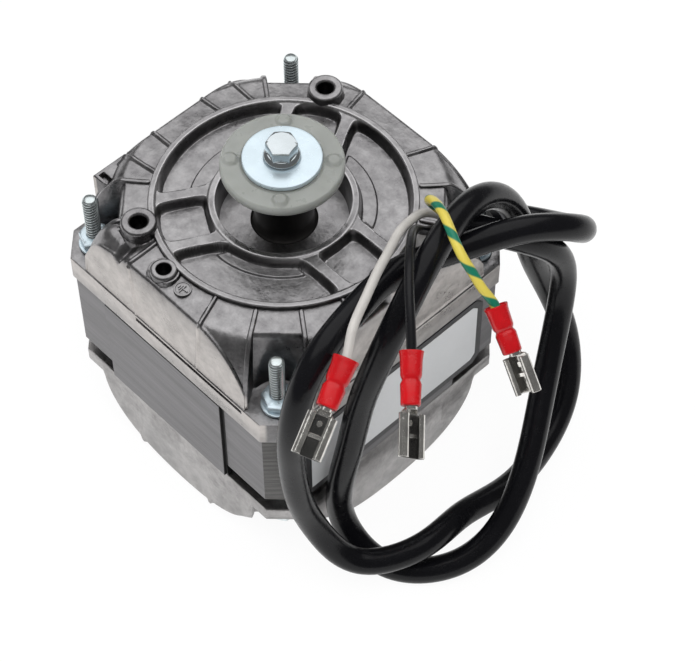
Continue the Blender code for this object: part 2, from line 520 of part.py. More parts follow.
# tie studs with washers and nuts
seatUnder = bandLow - GAP
for k, (x, y) in enumerate(STUDS):
    rod = turned("tie_stud_%d" % (k + 1), [(0, seatUnder - 3), (STUD_RADIUS, seatUnder - 3), (STUD_RADIUS, F + STUD_PROUD - 0.5),
                                           (STUD_RADIUS - 0.5, F + STUD_PROUD), (0, F + STUD_PROUD)], 12, stud, centre=(x, y))
    fuse(rod, hexagon("head", x, y, NUT_FLATS, seatUnder - 3.4, seatUnder))
    base = F + GAP
    ring_ = [(STUD_RADIUS + GAP, base), (WASHER_RADIUS - 0.2, base), (WASHER_RADIUS, base + 0.2), (WASHER_RADIUS, base + WASHER_THICK - 0.2),
             (WASHER_RADIUS - 0.2, base + WASHER_THICK), (STUD_RADIUS + GAP, base + WASHER_THICK)]
    turned("stud_washer_%d" % (k + 1), ring_, 12, zinc, closed=True, centre=(x, y))
    base += WASHER_THICK + GAP
    nut = hexagon("stud_nut_%d" % (k + 1), x, y, NUT_FLATS, base, base + NUT_HEIGHT, zinc, radians(10))
    ease = [(0, base - 1), (NUT_FLATS / 2 + 1.4, base - 1), (NUT_FLATS / 2 + 0.75, base + NUT_HEIGHT - 0.5), (NUT_FLATS / 2 + 0.1, base + NUT_HEIGHT), (0, base + NUT_HEIGHT + 0.001)]
    combine(nut, turned("ease", ease, 12, centre=(x, y)), 'INTERSECT')
    cut(nut, cylinder("hole", x, y, STUD_RADIUS + GAP, base - 2, base + NUT_HEIGHT + 2, 12))

# rotor: shaft, core with end rings, thrust washers
shaftTop = HUB_Z - HUB_RECESS - GAP
rod = turned("shaft", [(0, WALL + GAP + 1), (SHAFT_RADIUS - 0.5, WALL + GAP + 1), (SHAFT_RADIUS, WALL + GAP + 1.5), (SHAFT_RADIUS, shaftTop - 0.4),
                       (SHAFT_RADIUS - 0.4, shaftTop), (0, shaftTop)], 14, ground)
cut(rod, cylinder("bore", 0, 0, BOLT_RADIUS + GAP, shaftTop - BOLT_REACH, shaftTop + 2, 12))
rotorLow, rotorHigh = Z_CORE + 1, Z_FRONT - 1
rotorShape = [(BORE_RADIUS, rotorLow - 1), (ROTOR_RADIUS - 6, rotorLow - 1), (ROTOR_RADIUS - 6, rotorLow - 4), (ROTOR_RADIUS - 1, rotorLow - 4),
              (ROTOR_RADIUS - 0.5, rotorLow - 0.5), (ROTOR_RADIUS, rotorLow), (ROTOR_RADIUS, rotorHigh), (ROTOR_RADIUS - 0.5, rotorHigh + 0.5),
              (ROTOR_RADIUS - 1, rotorHigh + 4), (ROTOR_RADIUS - 6, rotorHigh + 4), (ROTOR_RADIUS - 6, rotorHigh + 1), (BORE_RADIUS, rotorHigh + 1)]
turned("rotor_core", rotorShape, 18, rotorSteel, closed=True)
capLow = bushTop - BUSH_LENGTH - GAP - CAP_THICK
ring("front_thrust_washer", BORE_RADIUS, 5.2, capLow - GAP - 1.0, capLow - GAP, 12, fibre, 0.2)
ring("rear_thrust_washer", BORE_RADIUS, 5.2, rearCap + CAP_THICK + GAP, rearCap + CAP_THICK + GAP + 1.0, 12, fibre, 0.2)

# blade hub with its nubs, washer and bolt
hubLow = HUB_Z - HUB_THICK
hubShape = [(BORE_RADIUS, TOWER_Z + 0.7), (7, TOWER_Z + 0.7), (7, hubLow - 0.4), (8, hubLow), (HUB_RADIUS - 0.8, hubLow), (HUB_RADIUS, hubLow + 0.8),
            (HUB_RADIUS, HUB_Z - 1.2), (HUB_RADIUS - 0.35, HUB_Z - 0.35), (HUB_RADIUS - 1.2, HUB_Z),
            (HUB_WASHER_RADIUS + 0.4, HUB_Z), (HUB_WASHER_RADIUS + 0.3, HUB_Z - HUB_RECESS), (BORE_RADIUS, HUB_Z - HUB_RECESS)]
hub = turned("blade_hub", hubShape, 28, nylon, closed=True)
for k in range(4):
    a = pi / 4 + k * pi / 2
    nub = [(0, HUB_Z - 1), (NUB_RADIUS, HUB_Z - 1), (NUB_RADIUS, HUB_Z + NUB_HEIGHT - 0.4), (NUB_RADIUS - 0.4, HUB_Z + NUB_HEIGHT), (0, HUB_Z + NUB_HEIGHT)]
    fuse(hub, turned("nub", nub, 8, centre=(NUB_CIRCLE * cos(a), NUB_CIRCLE * sin(a))))
washerLow = HUB_Z - HUB_RECESS + GAP
ring("hub_washer", BOLT_RADIUS + GAP, HUB_WASHER_RADIUS, washerLow, washerLow + HUB_WASHER_THICK, 20, zinc, 0.25)
boltLow = washerLow + HUB_WASHER_THICK + GAP
boltShape = [(0, shaftTop - BOLT_REACH + 1), (BOLT_RADIUS, shaftTop - BOLT_REACH + 1), (BOLT_RADIUS, boltLow), (BOLT_FLANGE_RADIUS - 0.15, boltLow),
             (BOLT_FLANGE_RADIUS, boltLow + 0.5), (BOLT_FLATS / 2 + 0.4, boltLow + 1.1), (0, boltLow + 1.1)]
bolt = turned("hub_bolt", boltShape, 14, zinc)
head = hexagon("head", 0, 0, BOLT_FLATS, boltLow + 0.4, boltLow + BOLT_HEAD, turn=radians(14))
ease = [(0, boltLow - 1), (BOLT_FLATS / 2 + 1.2, boltLow - 1), (BOLT_FLATS / 2 + 0.8, boltLow + BOLT_HEAD - 0.5), (BOLT_FLATS / 2, boltLow + BOLT_HEAD), (0, boltLow + BOLT_HEAD + 0.001)]
combine(head, turned("ease", ease, 12), 'INTERSECT')
fuse(bolt, head)

# blank rating plate on the +X side, right corners cut
plateTop = F - LABEL_TOP
plate = bmesh.new()
x0 = CORE_HALF + GAP - 0.05
outline = [(LABEL_Y0, plateTop - LABEL_HEIGHT), (LABEL_Y1 - 2.5, plateTop - LABEL_HEIGHT), (LABEL_Y1, plateTop - LABEL_HEIGHT + 2.5),
           (LABEL_Y1, plateTop - 2.5), (LABEL_Y1 - 2.5, plateTop), (LABEL_Y0, plateTop)]
near = [plate.verts.new((x0 * MM, y * MM, z * MM)) for y, z in outline]
back = [plate.verts.new(((x0 + LABEL_THICK) * MM, y * MM, z * MM)) for y, z in outline]
plate.faces.new(near)
plate.faces.new(back)
for i in range(len(near)):
    j = (i + 1) % len(near)
    plate.faces.new((near[i], near[j], back[j], back[i]))
finish("rating_label", plate, foil)

# cable gland on the +Y side, turned about Y
glandShape = [(0, 0), (GLAND_RADIUS, 0), (GLAND_RADIUS, 1.4), (GLAND_RADIUS - 0.6, GLAND_REACH), (CABLE_RADIUS + GAP + 0.9, GLAND_REACH),
              (CABLE_RADIUS + GAP + 0.1, 1.2), (0, 1.2)]
gland = turned("cable_gland", glandShape, 16, rubberBlack)
gland.data.transform(Matrix.Translation(Vector((GLAND_X, HALF + GAP, F - GLAND_DROP)) * MM) @ Matrix.Rotation(-pi / 2, 4, 'X'))


def smooth_line(route, count):
    # natural cubic through the route's points, read out evenly but closer in the bends
    P = np.array(route, float)
    t = np.concatenate([[0.0], np.cumsum(np.sqrt(np.linalg.norm(np.diff(P, axis=0), axis=1)))])
    n = len(P)
    h = np.diff(t)
    A = np.zeros((n, n))
    B = np.zeros((n, 3))
    A[0, 0] = A[-1, -1] = 1.0
    for i in range(1, n - 1):
        A[i, i - 1], A[i, i], A[i, i + 1] = h[i - 1], 2 * (h[i - 1] + h[i]), h[i]
        B[i] = 6 * ((P[i + 1] - P[i]) / h[i] - (P[i] - P[i - 1]) / h[i - 1])
    M = np.linalg.solve(A, B)
    fine = []
    for i in range(n - 1):
        u = np.linspace(0, h[i], 24, endpoint=(i == n - 2))[:, None]
        w = h[i] - u
        fine.append((M[i] * w ** 3 + M[i + 1] * u ** 3) / (6 * h[i]) + (P[i] / h[i] - M[i] * h[i] / 6) * w + (P[i + 1] / h[i] - M[i + 1] * h[i] / 6) * u)
    fine = np.concatenate(fine)
    step = np.linalg.norm(np.diff(fine, axis=0), axis=1)
    tangent = np.diff(fine, axis=0) / step[:, None]
    turn = np.concatenate([[0.0], np.linalg.norm(np.diff(tangent, axis=0), axis=1)])
    weight = np.concatenate([[0.0], np.cumsum(step + 7.0 * turn)])
    at = np.linspace(0, weight[-1], count)
    return np.stack([np.interp(at, weight, fine[:, k]) for k in range(3)], 1)


def tube_along(name, route, radius, count, mat, resolution=2):
    line = smooth_line(route, count)
    curve = bpy.data.curves.new(name, 'CURVE')
    curve.dimensions = '3D'
    curve.bevel_depth = radius * MM
    curve.bevel_resolution = resolution
    curve.use_fill_caps = True
    spline = curve.splines.new('POLY')
    spline.points.add(len(line) - 1)
    for point, p in zip(spline.points, line):
        point.co = (p[0] * MM, p[1] * MM, p[2] * MM, 1.0)
    obj = bpy.data.objects.new(name, curve)
    bpy.context.scene.collection.objects.link(obj)
    curve.materials.append(mat)
    return line


sheathLine = tube_along("cable_sheath", CABLE_ROUTE, CABLE_RADIUS, 80, sheathBlack)
tip = Vector(sheathLine[-1])
heading = (tip - Vector(sheathLine[-2])).normalized()
rightward = heading.cross(Vector((0, 0, 1))).normalized()
upward = rightward.cross(heading)
ends = []
for name, route, mat, sideways, rise in (("wire_white", WHITE_ROUTE, wireWhite, 1.5, -0.85),
                                         ("wire_black", BLACK_ROUTE, wireBlack, -1.5, -0.85),
                                         ("wire_earth", EARTH_ROUTE, wireEarth, 0.0, 1.75)):
    start = tip + heading * (2 * GAP + 0.3) + rightward * sideways + upward * rise
    line = tube_along(name, [tuple(start)] + route, WIRE_RADIUS, 18, mat, 1)
    ends.append((Vector(line[-1]), (Vector(line[-1]) - Vector(line[-3])).normalized()))


def seat_on_wire(obj, end, along, back):
    # local +X runs on from the wire, local +Z faces the open side
    normal = (VIEW_SIDE - along * VIEW_SIDE.dot(along)).normalized()
    across = normal.cross(along)
    frame = Matrix((along, across, normal)).transposed().to_4x4()
    origin = (end - along * back) * MM
    obj.data.transform(Matrix.Translation(origin) @ frame)


def tunnel(name, sections, mat, steps=10):
    # closed skin through elliptical sections (x, half width, half height), outer side then inner side
    bm = bmesh.new()
    rings = []
    for x, ry, rz in sections:
        rings.append([bm.verts.new((x * MM, ry * MM * cos(2 * pi * i / steps), rz * MM * sin(2 * pi * i / steps))) for i in range(steps)])
    for a, b in zip(rings, rings[1:] + rings[:1]):
        for i in range(steps):
            j = (i + 1) % steps
            bm.faces.new((a[i], a[j], b[j], b[i]))
    return finish(name, bm, mat)


def terminal(name):
    # crimped barrel, narrow neck and the receptacle with both edges rolled over a flat floor
    w, t, x0 = TERMINAL_WIDTH / 2, TERMINAL_SHEET, SLEEVE_LENGTH + 1.6
    roll = 2.6
    section = [(-w + 0.5, 0), (w - 0.5, 0), (w, 0.5), (w, roll - 0.6), (w - 0.6, roll), (w - 1.7, roll), (w - 2.1, roll - 0.5), (w - 2.1, roll - 0.9),
               (w - 1.6, roll - t), (w - 0.9, roll - t), (w - 0.8, t), (-w + 0.8, t), (-w + 0.9, roll - t), (-w + 1.6, roll - t),
               (-w + 2.1, roll - 0.9), (-w + 2.1, roll - 0.5), (-w + 1.7, roll), (-w + 0.6, roll), (-w, roll - 0.6), (-w, 0.5)]
    body = prism(name, section, 0, TERMINAL_LENGTH, tinned)
    turn = Matrix(((0, 0, 1, 0), (1, 0, 0, 0), (0, 1, 0, 0), (0, 0, 0, 1)))
    body.data.transform(Matrix.Translation(Vector((x0, 0, -0.8)) * MM) @ turn)
    neck = [(SLEEVE_LENGTH - 3, -1.5), (SLEEVE_LENGTH + 0.2, -1.5), (x0 + 1.2, -2.2), (x0 + 1.2, 2.2), (SLEEVE_LENGTH + 0.2, 1.5), (SLEEVE_LENGTH - 3, 1.5)]
    fuse(body, prism("neck", neck, -0.75, -0.05))
    barrel = cylinder("barrel", 0, 0, 1.35, 7.0, SLEEVE_LENGTH - 1.0, 12)
    barrel.data.transform(Matrix(((0, 0, 1, 0), (1, 0, 0, 0), (0, 1, 0, 0), (0, 0, 0, 1))))
    fuse(body, barrel)
    return body


for k, (end, along) in enumerate(ends):
    s = SLEEVE_HALF
    skin = [(0, s + 0.35, s - 0.2), (1.4, s, s - 0.6), (4.6, s, s - 0.6), (5.2, s - 0.45, s - 0.95), (5.9, s, s - 0.6), (8.6, s, s - 0.6), (9.2, s - 0.4, s - 0.9),
            (9.9, s, s - 0.6), (SLEEVE_LENGTH - 1.0, s - 0.1, s - 0.7), (SLEEVE_LENGTH, s - 0.45, s - 0.95), (SLEEVE_LENGTH, s - 1.1, s - 1.3),
            (SLEEVE_LENGTH - 0.6, s - 1.1, s - 1.3), (0.8, s - 1.1, s - 1.3), (0, s - 0.6, s - 0.9)]
    sleeve = tunnel("sleeve_%d" % (k + 1), skin, sleeveRed)
    seat_on_wire(sleeve, end, along, 6.0)
    blade = terminal("terminal_%d" % (k + 1))
    seat_on_wire(blade, end, along, 6.0)
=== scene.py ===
# cooler fan motor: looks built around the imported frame, lengths in mm inside the shape functions
import bpy
import numpy as np
from math import atan, cos, pi, radians, sin, sqrt, tan
from mathutils import Matrix, Vector


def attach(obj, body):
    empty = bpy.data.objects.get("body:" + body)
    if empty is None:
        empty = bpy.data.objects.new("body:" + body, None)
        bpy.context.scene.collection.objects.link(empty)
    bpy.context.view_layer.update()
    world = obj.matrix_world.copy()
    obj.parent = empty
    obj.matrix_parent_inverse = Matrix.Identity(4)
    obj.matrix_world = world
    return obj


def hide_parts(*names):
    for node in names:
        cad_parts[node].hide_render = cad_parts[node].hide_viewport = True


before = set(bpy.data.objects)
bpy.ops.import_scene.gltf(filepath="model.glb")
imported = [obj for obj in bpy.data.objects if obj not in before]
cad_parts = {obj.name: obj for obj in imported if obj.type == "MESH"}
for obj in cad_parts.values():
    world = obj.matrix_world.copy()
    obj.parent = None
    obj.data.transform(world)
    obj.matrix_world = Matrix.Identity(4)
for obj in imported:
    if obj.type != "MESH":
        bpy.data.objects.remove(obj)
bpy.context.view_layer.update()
mm = 0.001
gap = 0.3
print("frame loaded:", len(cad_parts), "nodes")

photoView = {   # degrees, mm and pixels
    "azimuth": 46.36, "elevation": 54.11, "roll": -0.22, "distance": 586.31, "target": (24.86, -1.89, 55.88),
    "focalPixels": 2300, "frameWidth": 695, "sensor": 36}


def addCamera(v):
    # stands at target + distance * back, the unit vector of azimuth and elevation, rolled about that line
    az, el, roll = radians(v["azimuth"]), radians(v["elevation"]), radians(v["roll"])
    back = Vector((sin(az) * cos(el), -cos(az) * cos(el), sin(el)))
    right = Vector((cos(az), sin(az), 0))
    up = back.cross(right)
    side = right * cos(roll) + up * sin(roll)
    lift = up * cos(roll) - right * sin(roll)
    data = bpy.data.cameras.new("photoCamera")
    data.lens = v["focalPixels"] / v["frameWidth"] * v["sensor"]
    data.sensor_width = v["sensor"]
    data.clip_start = 0.01
    obj = bpy.data.objects.new("photoCamera", data)
    bpy.context.scene.collection.objects.link(obj)
    turn = Matrix((side, lift, back)).transposed().to_4x4()
    obj.matrix_world = Matrix.Translation((Vector(v["target"]) + back * v["distance"]) * mm) @ turn
    bpy.context.scene.camera = obj


addCamera(photoView)


def areaLamp(name, place, aim, size, power):
    # rectangle whose -Z axis looks from its place to its aim, in metres
    data = bpy.data.lights.new(name, 'AREA')
    data.shape = 'RECTANGLE'
    data.size, data.size_y = size
    data.energy = power
    obj = bpy.data.objects.new(name, data)
    bpy.context.scene.collection.objects.link(obj)
    obj.location = place
    obj.rotation_euler = (Vector(aim) - Vector(place)).to_track_quat('-Z', 'Y').to_euler()
    return obj


lampSettings = {   # place, aim, size, power, seen in reflections
    "skyBox": ((-0.25, 0.25, 0.95), (0.0, 0, 0.05), (1.3, 1.3), 5.2, True),
    "fillLeft": ((-0.6, -0.7, 0.55), (0.0, 0, 0.04), (0.6, 0.6), 5.0, False),
    "fillTop": ((0.35, -0.2, 0.9), (0.03, 0, 0.05), (0.6, 0.6), 8.0, False)}
for lampName, (place, aim, size, power, mirrored) in lampSettings.items():
    lamp = areaLamp(lampName, place, aim, size, power)
    lamp.visible_glossy = mirrored

world = bpy.data.worlds.new("paleStudio")
bpy.context.scene.world = world
world.use_nodes = True
wt = world.node_tree
wt.nodes.clear()
wOut = wt.nodes.new('ShaderNodeOutputWorld')
wPath = wt.nodes.new('ShaderNodeLightPath')
worldLevels = {"diffuse": 0.42, "glossy": 0.13, "camera": 1.0}   # white to the camera, darker on the object


def backdrop(level):
    # plain white at this strength
    item = wt.nodes.new('ShaderNodeBackground')
    item.inputs[0].default_value = (1, 1, 1, 1)
    item.inputs[1].default_value = level
    return item.outputs[0]


wShade = backdrop(worldLevels["diffuse"])
for ray, level in (('Is Glossy Ray', worldLevels["glossy"]), ('Is Camera Ray', worldLevels["camera"])):
    wMix = wt.nodes.new('ShaderNodeMixShader')
    wt.links.new(wPath.outputs[ray], wMix.inputs[0])
    wt.links.new(wShade, wMix.inputs[1])
    wt.links.new(backdrop(level), wMix.inputs[2])
    wShade = wMix.outputs[0]
wt.links.new(wShade, wOut.inputs[0])
bpy.context.scene.view_settings.view_transform = 'Standard'
print("camera, lamps and world set")


class Finish:
    # a material under construction: short calls that add and join nodes
    def __init__(self, name):
        self.mat = bpy.data.materials.new(name)
        self.mat.use_nodes = True
        self.tree = self.mat.node_tree
        self.shader = self.tree.nodes["Principled BSDF"]
        self.coord = self.tree.nodes.new('ShaderNodeTexCoord')

    def node(self, kind, **values):
        item = self.tree.nodes.new(kind)
        for key, value in values.items():
            setattr(item, key, value)
        return item

    def join(self, a, b):
        self.tree.links.new(a, b)

    def fixed(self, **values):
        for key, value in values.items():
            self.shader.inputs[key.replace('_', ' ')].default_value = value

    def placed(self, scale=(1, 1, 1)):
        item = self.node('ShaderNodeMapping')
        item.inputs['Scale'].default_value = scale
        self.join(self.coord.outputs['Object'], item.inputs['Vector'])
        return item.outputs['Vector']

    def noise(self, vector, scale, detail=4.0, rough=0.6):
        item = self.node('ShaderNodeTexNoise')
        item.inputs['Scale'].default_value = scale
        item.inputs['Detail'].default_value = detail
        item.inputs['Roughness'].default_value = rough
        self.join(vector, item.inputs['Vector'])
        return item.outputs['Fac']

    def ramp(self, value, stops):
        item = self.node('ShaderNodeValToRGB')
        ramp = item.color_ramp
        while len(ramp.elements) < len(stops):
            ramp.elements.new(0.5)
        for element, (position, colour) in zip(ramp.elements, stops):
            element.position = position
            element.color = (*colour, 1) if isinstance(colour, tuple) else (colour, colour, colour, 1)
        self.join(value, item.inputs['Fac'])
        return item.outputs['Color']

    def math(self, kind, a, b=0.0):
        item = self.node('ShaderNodeMath', operation=kind)
        for socket, value in zip(item.inputs, (a, b)):
            if isinstance(value, (int, float)):
                socket.default_value = value
            else:
                self.join(value, socket)
        return item.outputs[0]

    def weighted(self, *parts):
        # sum of (value, share) pairs, each value times its share
        total = None
        for value, share in parts:
            part = self.math('MULTIPLY', value, share)
            total = part if total is None else self.math('ADD', total, part)
        return total

    def mix(self, amount, a, b, blend='MIX'):
        item = self.node('ShaderNodeMix', data_type='RGBA', blend_type=blend)
        for socket, value in ((item.inputs[0], amount), (item.inputs[6], a), (item.inputs[7], b)):
            if isinstance(value, (int, float)):
                socket.default_value = value
            elif isinstance(value, tuple):
                socket.default_value = (*value, 1)
            else:
                self.join(value, socket)
        return item.outputs[2]

    def colour(self, value):
        self.join(value, self.shader.inputs['Base Color'])

    def gloss(self, value):
        self.join(value, self.shader.inputs['Roughness'])

    def bump(self, height, strength, distance):
        item = self.node('ShaderNodeBump')
        item.inputs['Strength'].default_value = strength
        item.inputs['Distance'].default_value = distance
        self.join(height, item.inputs['Height'])
        self.join(item.outputs['Normal'], self.shader.inputs['Normal'])

    def axis(self, name, source='Object'):
        sep = self.node('ShaderNodeSeparateXYZ')
        self.join(self.coord.outputs[source], sep.inputs[0])
        return sep.outputs[name]

    def paintedLight(self):
        # painted light stored on the mesh: above 0 highlight, below 0 shade
        item = self.node('ShaderNodeAttribute', attribute_name="paintedLight")
        return item.outputs['Fac']

    def facing(self, name):
        # 0 to 1: how squarely the surface looks along this axis
        geo = self.node('ShaderNodeNewGeometry')
        sep = self.node('ShaderNodeSeparateXYZ')
        self.join(geo.outputs['Normal'], sep.inputs[0])
        return self.math('ABSOLUTE', sep.outputs[name])


castLook = {"clouds": 70, "ripples": 330, "grain": 1300, "sideFrom": 0.0403, "rimHighlight": 1.55, "relief": 0.0002}


def castMetal(name, dark, light, rough, wall, side=None):
    # three noises added up give the tone; painted shade darkens the steep walls, the outer sides are paler,
    # painted highlights brighten the rims
    f = Finish(name)
    v = f.placed()
    cloud = f.noise(v, castLook["clouds"], 4, 0.65)
    ripple = f.noise(v, castLook["ripples"], 3, 0.6)
    fine = f.noise(v, castLook["grain"], 3, 0.7)
    tone = f.weighted((cloud, 0.5), (ripple, 0.3), (fine, 0.2))
    between = tuple((a + b) / 2 for a, b in zip(dark, light))
    land = f.ramp(tone, [(0.38, dark), (0.5, between), (0.6, light)])
    # painted shade: steep faces take the land times wall, by how far the surface tilts from level
    shadedFlank = f.mix(1.0, land, (wall, wall, wall), 'MULTIPLY')
    wallShadeMask = f.ramp(f.facing('Z'), [(0.25, 1.0), (0.8, 0.0)])
    if side:
        reach = f.math('MAXIMUM', f.math('ABSOLUTE', f.axis('X')), f.math('ABSOLUTE', f.axis('Y')))
        beyond = f.math('MULTIPLY', f.math('SUBTRACT', reach, castLook["sideFrom"]), 1000.0)
        pale = f.ramp(tone, [(0.4, tuple(c * 0.66 for c in side)), (0.58, side)])
        shadedFlank = f.mix(f.ramp(beyond, [(0.2, 0.0), (0.8, 1.0)]), shadedFlank, pale)
    # painted highlight on the rims: the light tone raised
    rimHighlight = tuple(min(1, c * castLook["rimHighlight"]) for c in light)
    f.colour(f.mix(f.math('MULTIPLY', f.paintedLight(), 0.75), f.mix(wallShadeMask, land, shadedFlank), rimHighlight))
    f.gloss(f.ramp(f.weighted((cloud, 0.6), (fine, 0.4)), [(0.35, rough - 0.08), (0.65, rough + 0.14)]))
    f.fixed(Metallic=1.0)
    f.bump(f.weighted((fine, 0.2), (cloud, 3.0), (ripple, 1.0)), 0.6, castLook["relief"])
    return f.mat


castTop = castMetal("castTop", (0.24, 0.233, 0.24), (0.53, 0.52, 0.527), 0.32, 0.42, (0.52, 0.49, 0.47))
castRear = castMetal("castRear", (0.28, 0.272, 0.27), (0.54, 0.525, 0.52), 0.38, 0.92)


def towerMetal(name, foot=0.078):
    # painted shadow of the hub disc: near black at the top running down into grey cast metal at the foot, by
    # the height over the foot
    f = Finish(name)
    above = f.math('MULTIPLY', f.math('SUBTRACT', f.axis('Z'), foot), 100.0)
    # painted shadow: darker the higher above the foot
    shade = f.ramp(above, [(0.02, (0.12, 0.115, 0.112)), (0.3, (0.035, 0.034, 0.033))])
    cloud = f.noise(f.placed(), 200, 3)
    f.colour(f.mix(1.0, shade, f.ramp(cloud, [(0.35, 0.7), (0.65, 1.0)]), 'MULTIPLY'))
    f.gloss(f.ramp(cloud, [(0.3, 0.35), (0.7, 0.5)]))
    f.fixed(Metallic=0.9)
    f.bump(cloud, 0.3, 0.0001)
    return f.mat


castShadowed = towerMetal("castShadowed")


def plated(name, colour, rough, tint=0.15, cloudScale=220, dent=0.06, **extra):
    # plated steel: slow noise darkens the colour by up to tint, fine noise moves the gloss, painted shade
    # darkens the hollows
    f = Finish(name)
    v = f.placed()
    cloud = f.noise(v, cloudScale, 3)
    fine = f.noise(v, 900, 2)
    base = f.ramp(cloud, [(0.35, tuple(c * (1 - tint) for c in colour)), (0.65, colour)])
    # painted shade where the mesh marks a hollow
    hollowShade = f.math('MAXIMUM', f.math('SUBTRACT', 0.0, f.paintedLight()), 0.0)
    f.colour(f.mix(hollowShade, base, (0.02, 0.022, 0.025)))
    f.gloss(f.ramp(fine, [(0.3, rough * 0.9), (0.7, rough * 1.1)]))
    f.fixed(**{"Metallic": 1.0, **extra})
    f.bump(cloud, dent, 0.0003)
    return f.mat


zincPlate = plated("zincPlate", (0.74, 0.86, 0.93), 0.3, 0.12, 90, 0.03, Metallic=0.85)
studPlate = plated("studPlate", (0.80, 0.87, 0.88), 0.24, 0.12, 400, Metallic=0.95)
boltPlate = plated("boltPlate", (0.74, 0.80, 0.83), 0.14, 0.1, 150)
groundSteel = plated("groundSteel", (0.6, 0.6, 0.6), 0.2)
tinPlate = plated("tinPlate", (0.78, 0.76, 0.72), 0.14, 0.3, 300, 0.45, Metallic=0.95)
bronzeFinish = plated("bronzeFinish", (0.5, 0.34, 0.17), 0.4)


sheets = {"pitch": 0.00062, "seamX": 0.0209, "seamHalf": 0.0006, "seamFace": -0.0395}   # metres


def sheetStack(name):
    # thin sheets stacked along Z: a sine of the height for the joints, drawn-out noise for soft waves,
    # darker with stronger sheet lines on the cut corners, and painted shade as a black line in the gap on the
    # -Y side
    f = Finish(name)
    wave = f.math('SINE', f.math('MULTIPLY', f.axis('Z'), 2 * pi / sheets["pitch"]))
    swell = f.noise(f.placed((22, 22, 260)), 1.0, 3, 0.55)
    grain = f.noise(f.placed((60, 60, 1500)), 1.0, 3, 0.6)
    corner = f.ramp(f.math('MULTIPLY', f.facing('X'), f.facing('Y')), [(0.3, 0.0), (0.4, 1.0)])
    line = f.weighted((wave, 0.10), (swell, 0.75), (grain, 0.35))
    plain = f.ramp(line, [(0.34, (0.085, 0.083, 0.086)), (0.55, (0.15, 0.146, 0.151)),
                          (0.8, (0.225, 0.22, 0.227))])
    cornerTone = f.ramp(f.weighted((wave, 0.5), (grain, 1.0)), [(0.2, (0.02, 0.02, 0.02)),
                                                            (0.9, (0.16, 0.155, 0.15))])
    fromSeam = f.math('ABSOLUTE', f.math('SUBTRACT', f.axis('X'), sheets["seamX"]))
    onFace = f.math('LESS_THAN', f.axis('Y'), sheets["seamFace"])
    # painted shade: black in the gap at seamX on the -Y face
    seamShade = f.math('MULTIPLY', f.math('LESS_THAN', fromSeam, sheets["seamHalf"]), onFace)
    f.colour(f.mix(corner, f.mix(seamShade, plain, (0.012, 0.012, 0.012)), cornerTone))
    f.gloss(f.ramp(swell, [(0.3, 0.38), (0.7, 0.52)]))
    f.fixed(Metallic=0.6)
    f.bump(line, 0.35, 0.00008)
    return f.mat


coreStack = sheetStack("coreStack")


def softPlastic(name, colour, rough, spread=0.12, bumpScale=1200, bumpAmount=0.06, **extra):
    # slow noise darkens the colour by up to spread, fine noise moves the gloss and dents the skin
    f = Finish(name)
    v = f.placed()
    cloud = f.noise(v, 90, 3)
    fine = f.noise(v, bumpScale, 3)
    f.colour(f.ramp(cloud, [(0.3, tuple(c * (1 - spread) for c in colour)), (0.7, colour)]))
    f.gloss(f.ramp(fine, [(0.3, rough - 0.05), (0.7, rough + 0.08)]))
    f.fixed(**extra)
    f.bump(fine, bumpAmount, 0.0001)
    return f.mat


sheathBlack = softPlastic("sheathBlack", (0.004, 0.004, 0.005), 0.22, 0.3, 500, 0.05, Specular_IOR_Level=0.22)
wireBlackFinish = softPlastic("wireBlackFinish", (0.005, 0.005, 0.006), 0.3, 0.2, 500, 0.02,
                              Specular_IOR_Level=0.3)
wireWhiteFinish = softPlastic("wireWhiteFinish", (0.42, 0.405, 0.385), 0.38, 0.25, 500, 0.02)
sleeveRed = softPlastic("sleeveRed", (0.40, 0.003, 0.006), 0.22, 0.3, 600, 0.12, Subsurface_Weight=0.1,
                        Subsurface_Radius=(0.002, 0.0005, 0.0005))
glandRubber = softPlastic("glandRubber", (0.02, 0.02, 0.02), 0.55)
nylonMilky = softPlastic("nylonMilky", (0.235, 0.244, 0.23), 0.3, 0.18, 300, 0.05, Subsurface_Weight=0.7,
                         Subsurface_Radius=(0.006, 0.006, 0.005))
enamelFinish = softPlastic("enamelFinish", (0.42, 0.13, 0.04), 0.3)
fibreFinish = softPlastic("fibreFinish", (0.28, 0.17, 0.09), 0.7)


def earthStripe(name):
    # green spiral on yellow, read from the tube's own map: U along in turns, V around
    f = Finish(name)
    turn = f.math('FRACT', f.math('ADD', f.axis('X', 'UV'), f.axis('Y', 'UV')))
    stripe, ground = (0.004, 0.12, 0.07), (0.46, 0.38, 0.06)
    f.colour(f.ramp(turn, [(0.0, stripe), (0.29, stripe), (0.36, ground), (0.93, ground), (1.0, stripe)]))
    fine = f.noise(f.placed(), 1200, 3)
    f.gloss(f.ramp(fine, [(0.3, 0.3), (0.7, 0.42)]))
    f.bump(fine, 0.05, 0.0001)
    return f.mat


wireEarthFinish = earthStripe("wireEarthFinish")
print("materials made")


def gridMesh(name, points, closeRows=False, closeCols=True, mat=None, uv=None, sharp=35, paintedLight=None):
    # rows x cols x 3 points in mm joined by quads; either direction may close on itself
    rows, cols = points.shape[:2]
    index = np.arange(rows * cols).reshape(rows, cols)
    if closeRows:
        index = np.vstack([index, index[:1]])
    if closeCols:
        index = np.hstack([index, index[:, :1]])
    quads = np.stack([index[:-1, :-1], index[:-1, 1:], index[1:, 1:], index[1:, :-1]], -1).reshape(-1, 4)
    obj = meshFrom(name, points.reshape(-1, 3), quads, mat, uv, sharp)
    if paintedLight is not None:
        givePaintedLight(obj, paintedLight)
    return obj


def givePaintedLight(obj, paintedLight):
    # one value a point: above 0 a painted highlight, below 0 painted shade
    layer = obj.data.attributes.new("paintedLight", 'FLOAT', 'POINT')
    layer.data.foreach_set("value", np.asarray(paintedLight, np.float32).ravel())


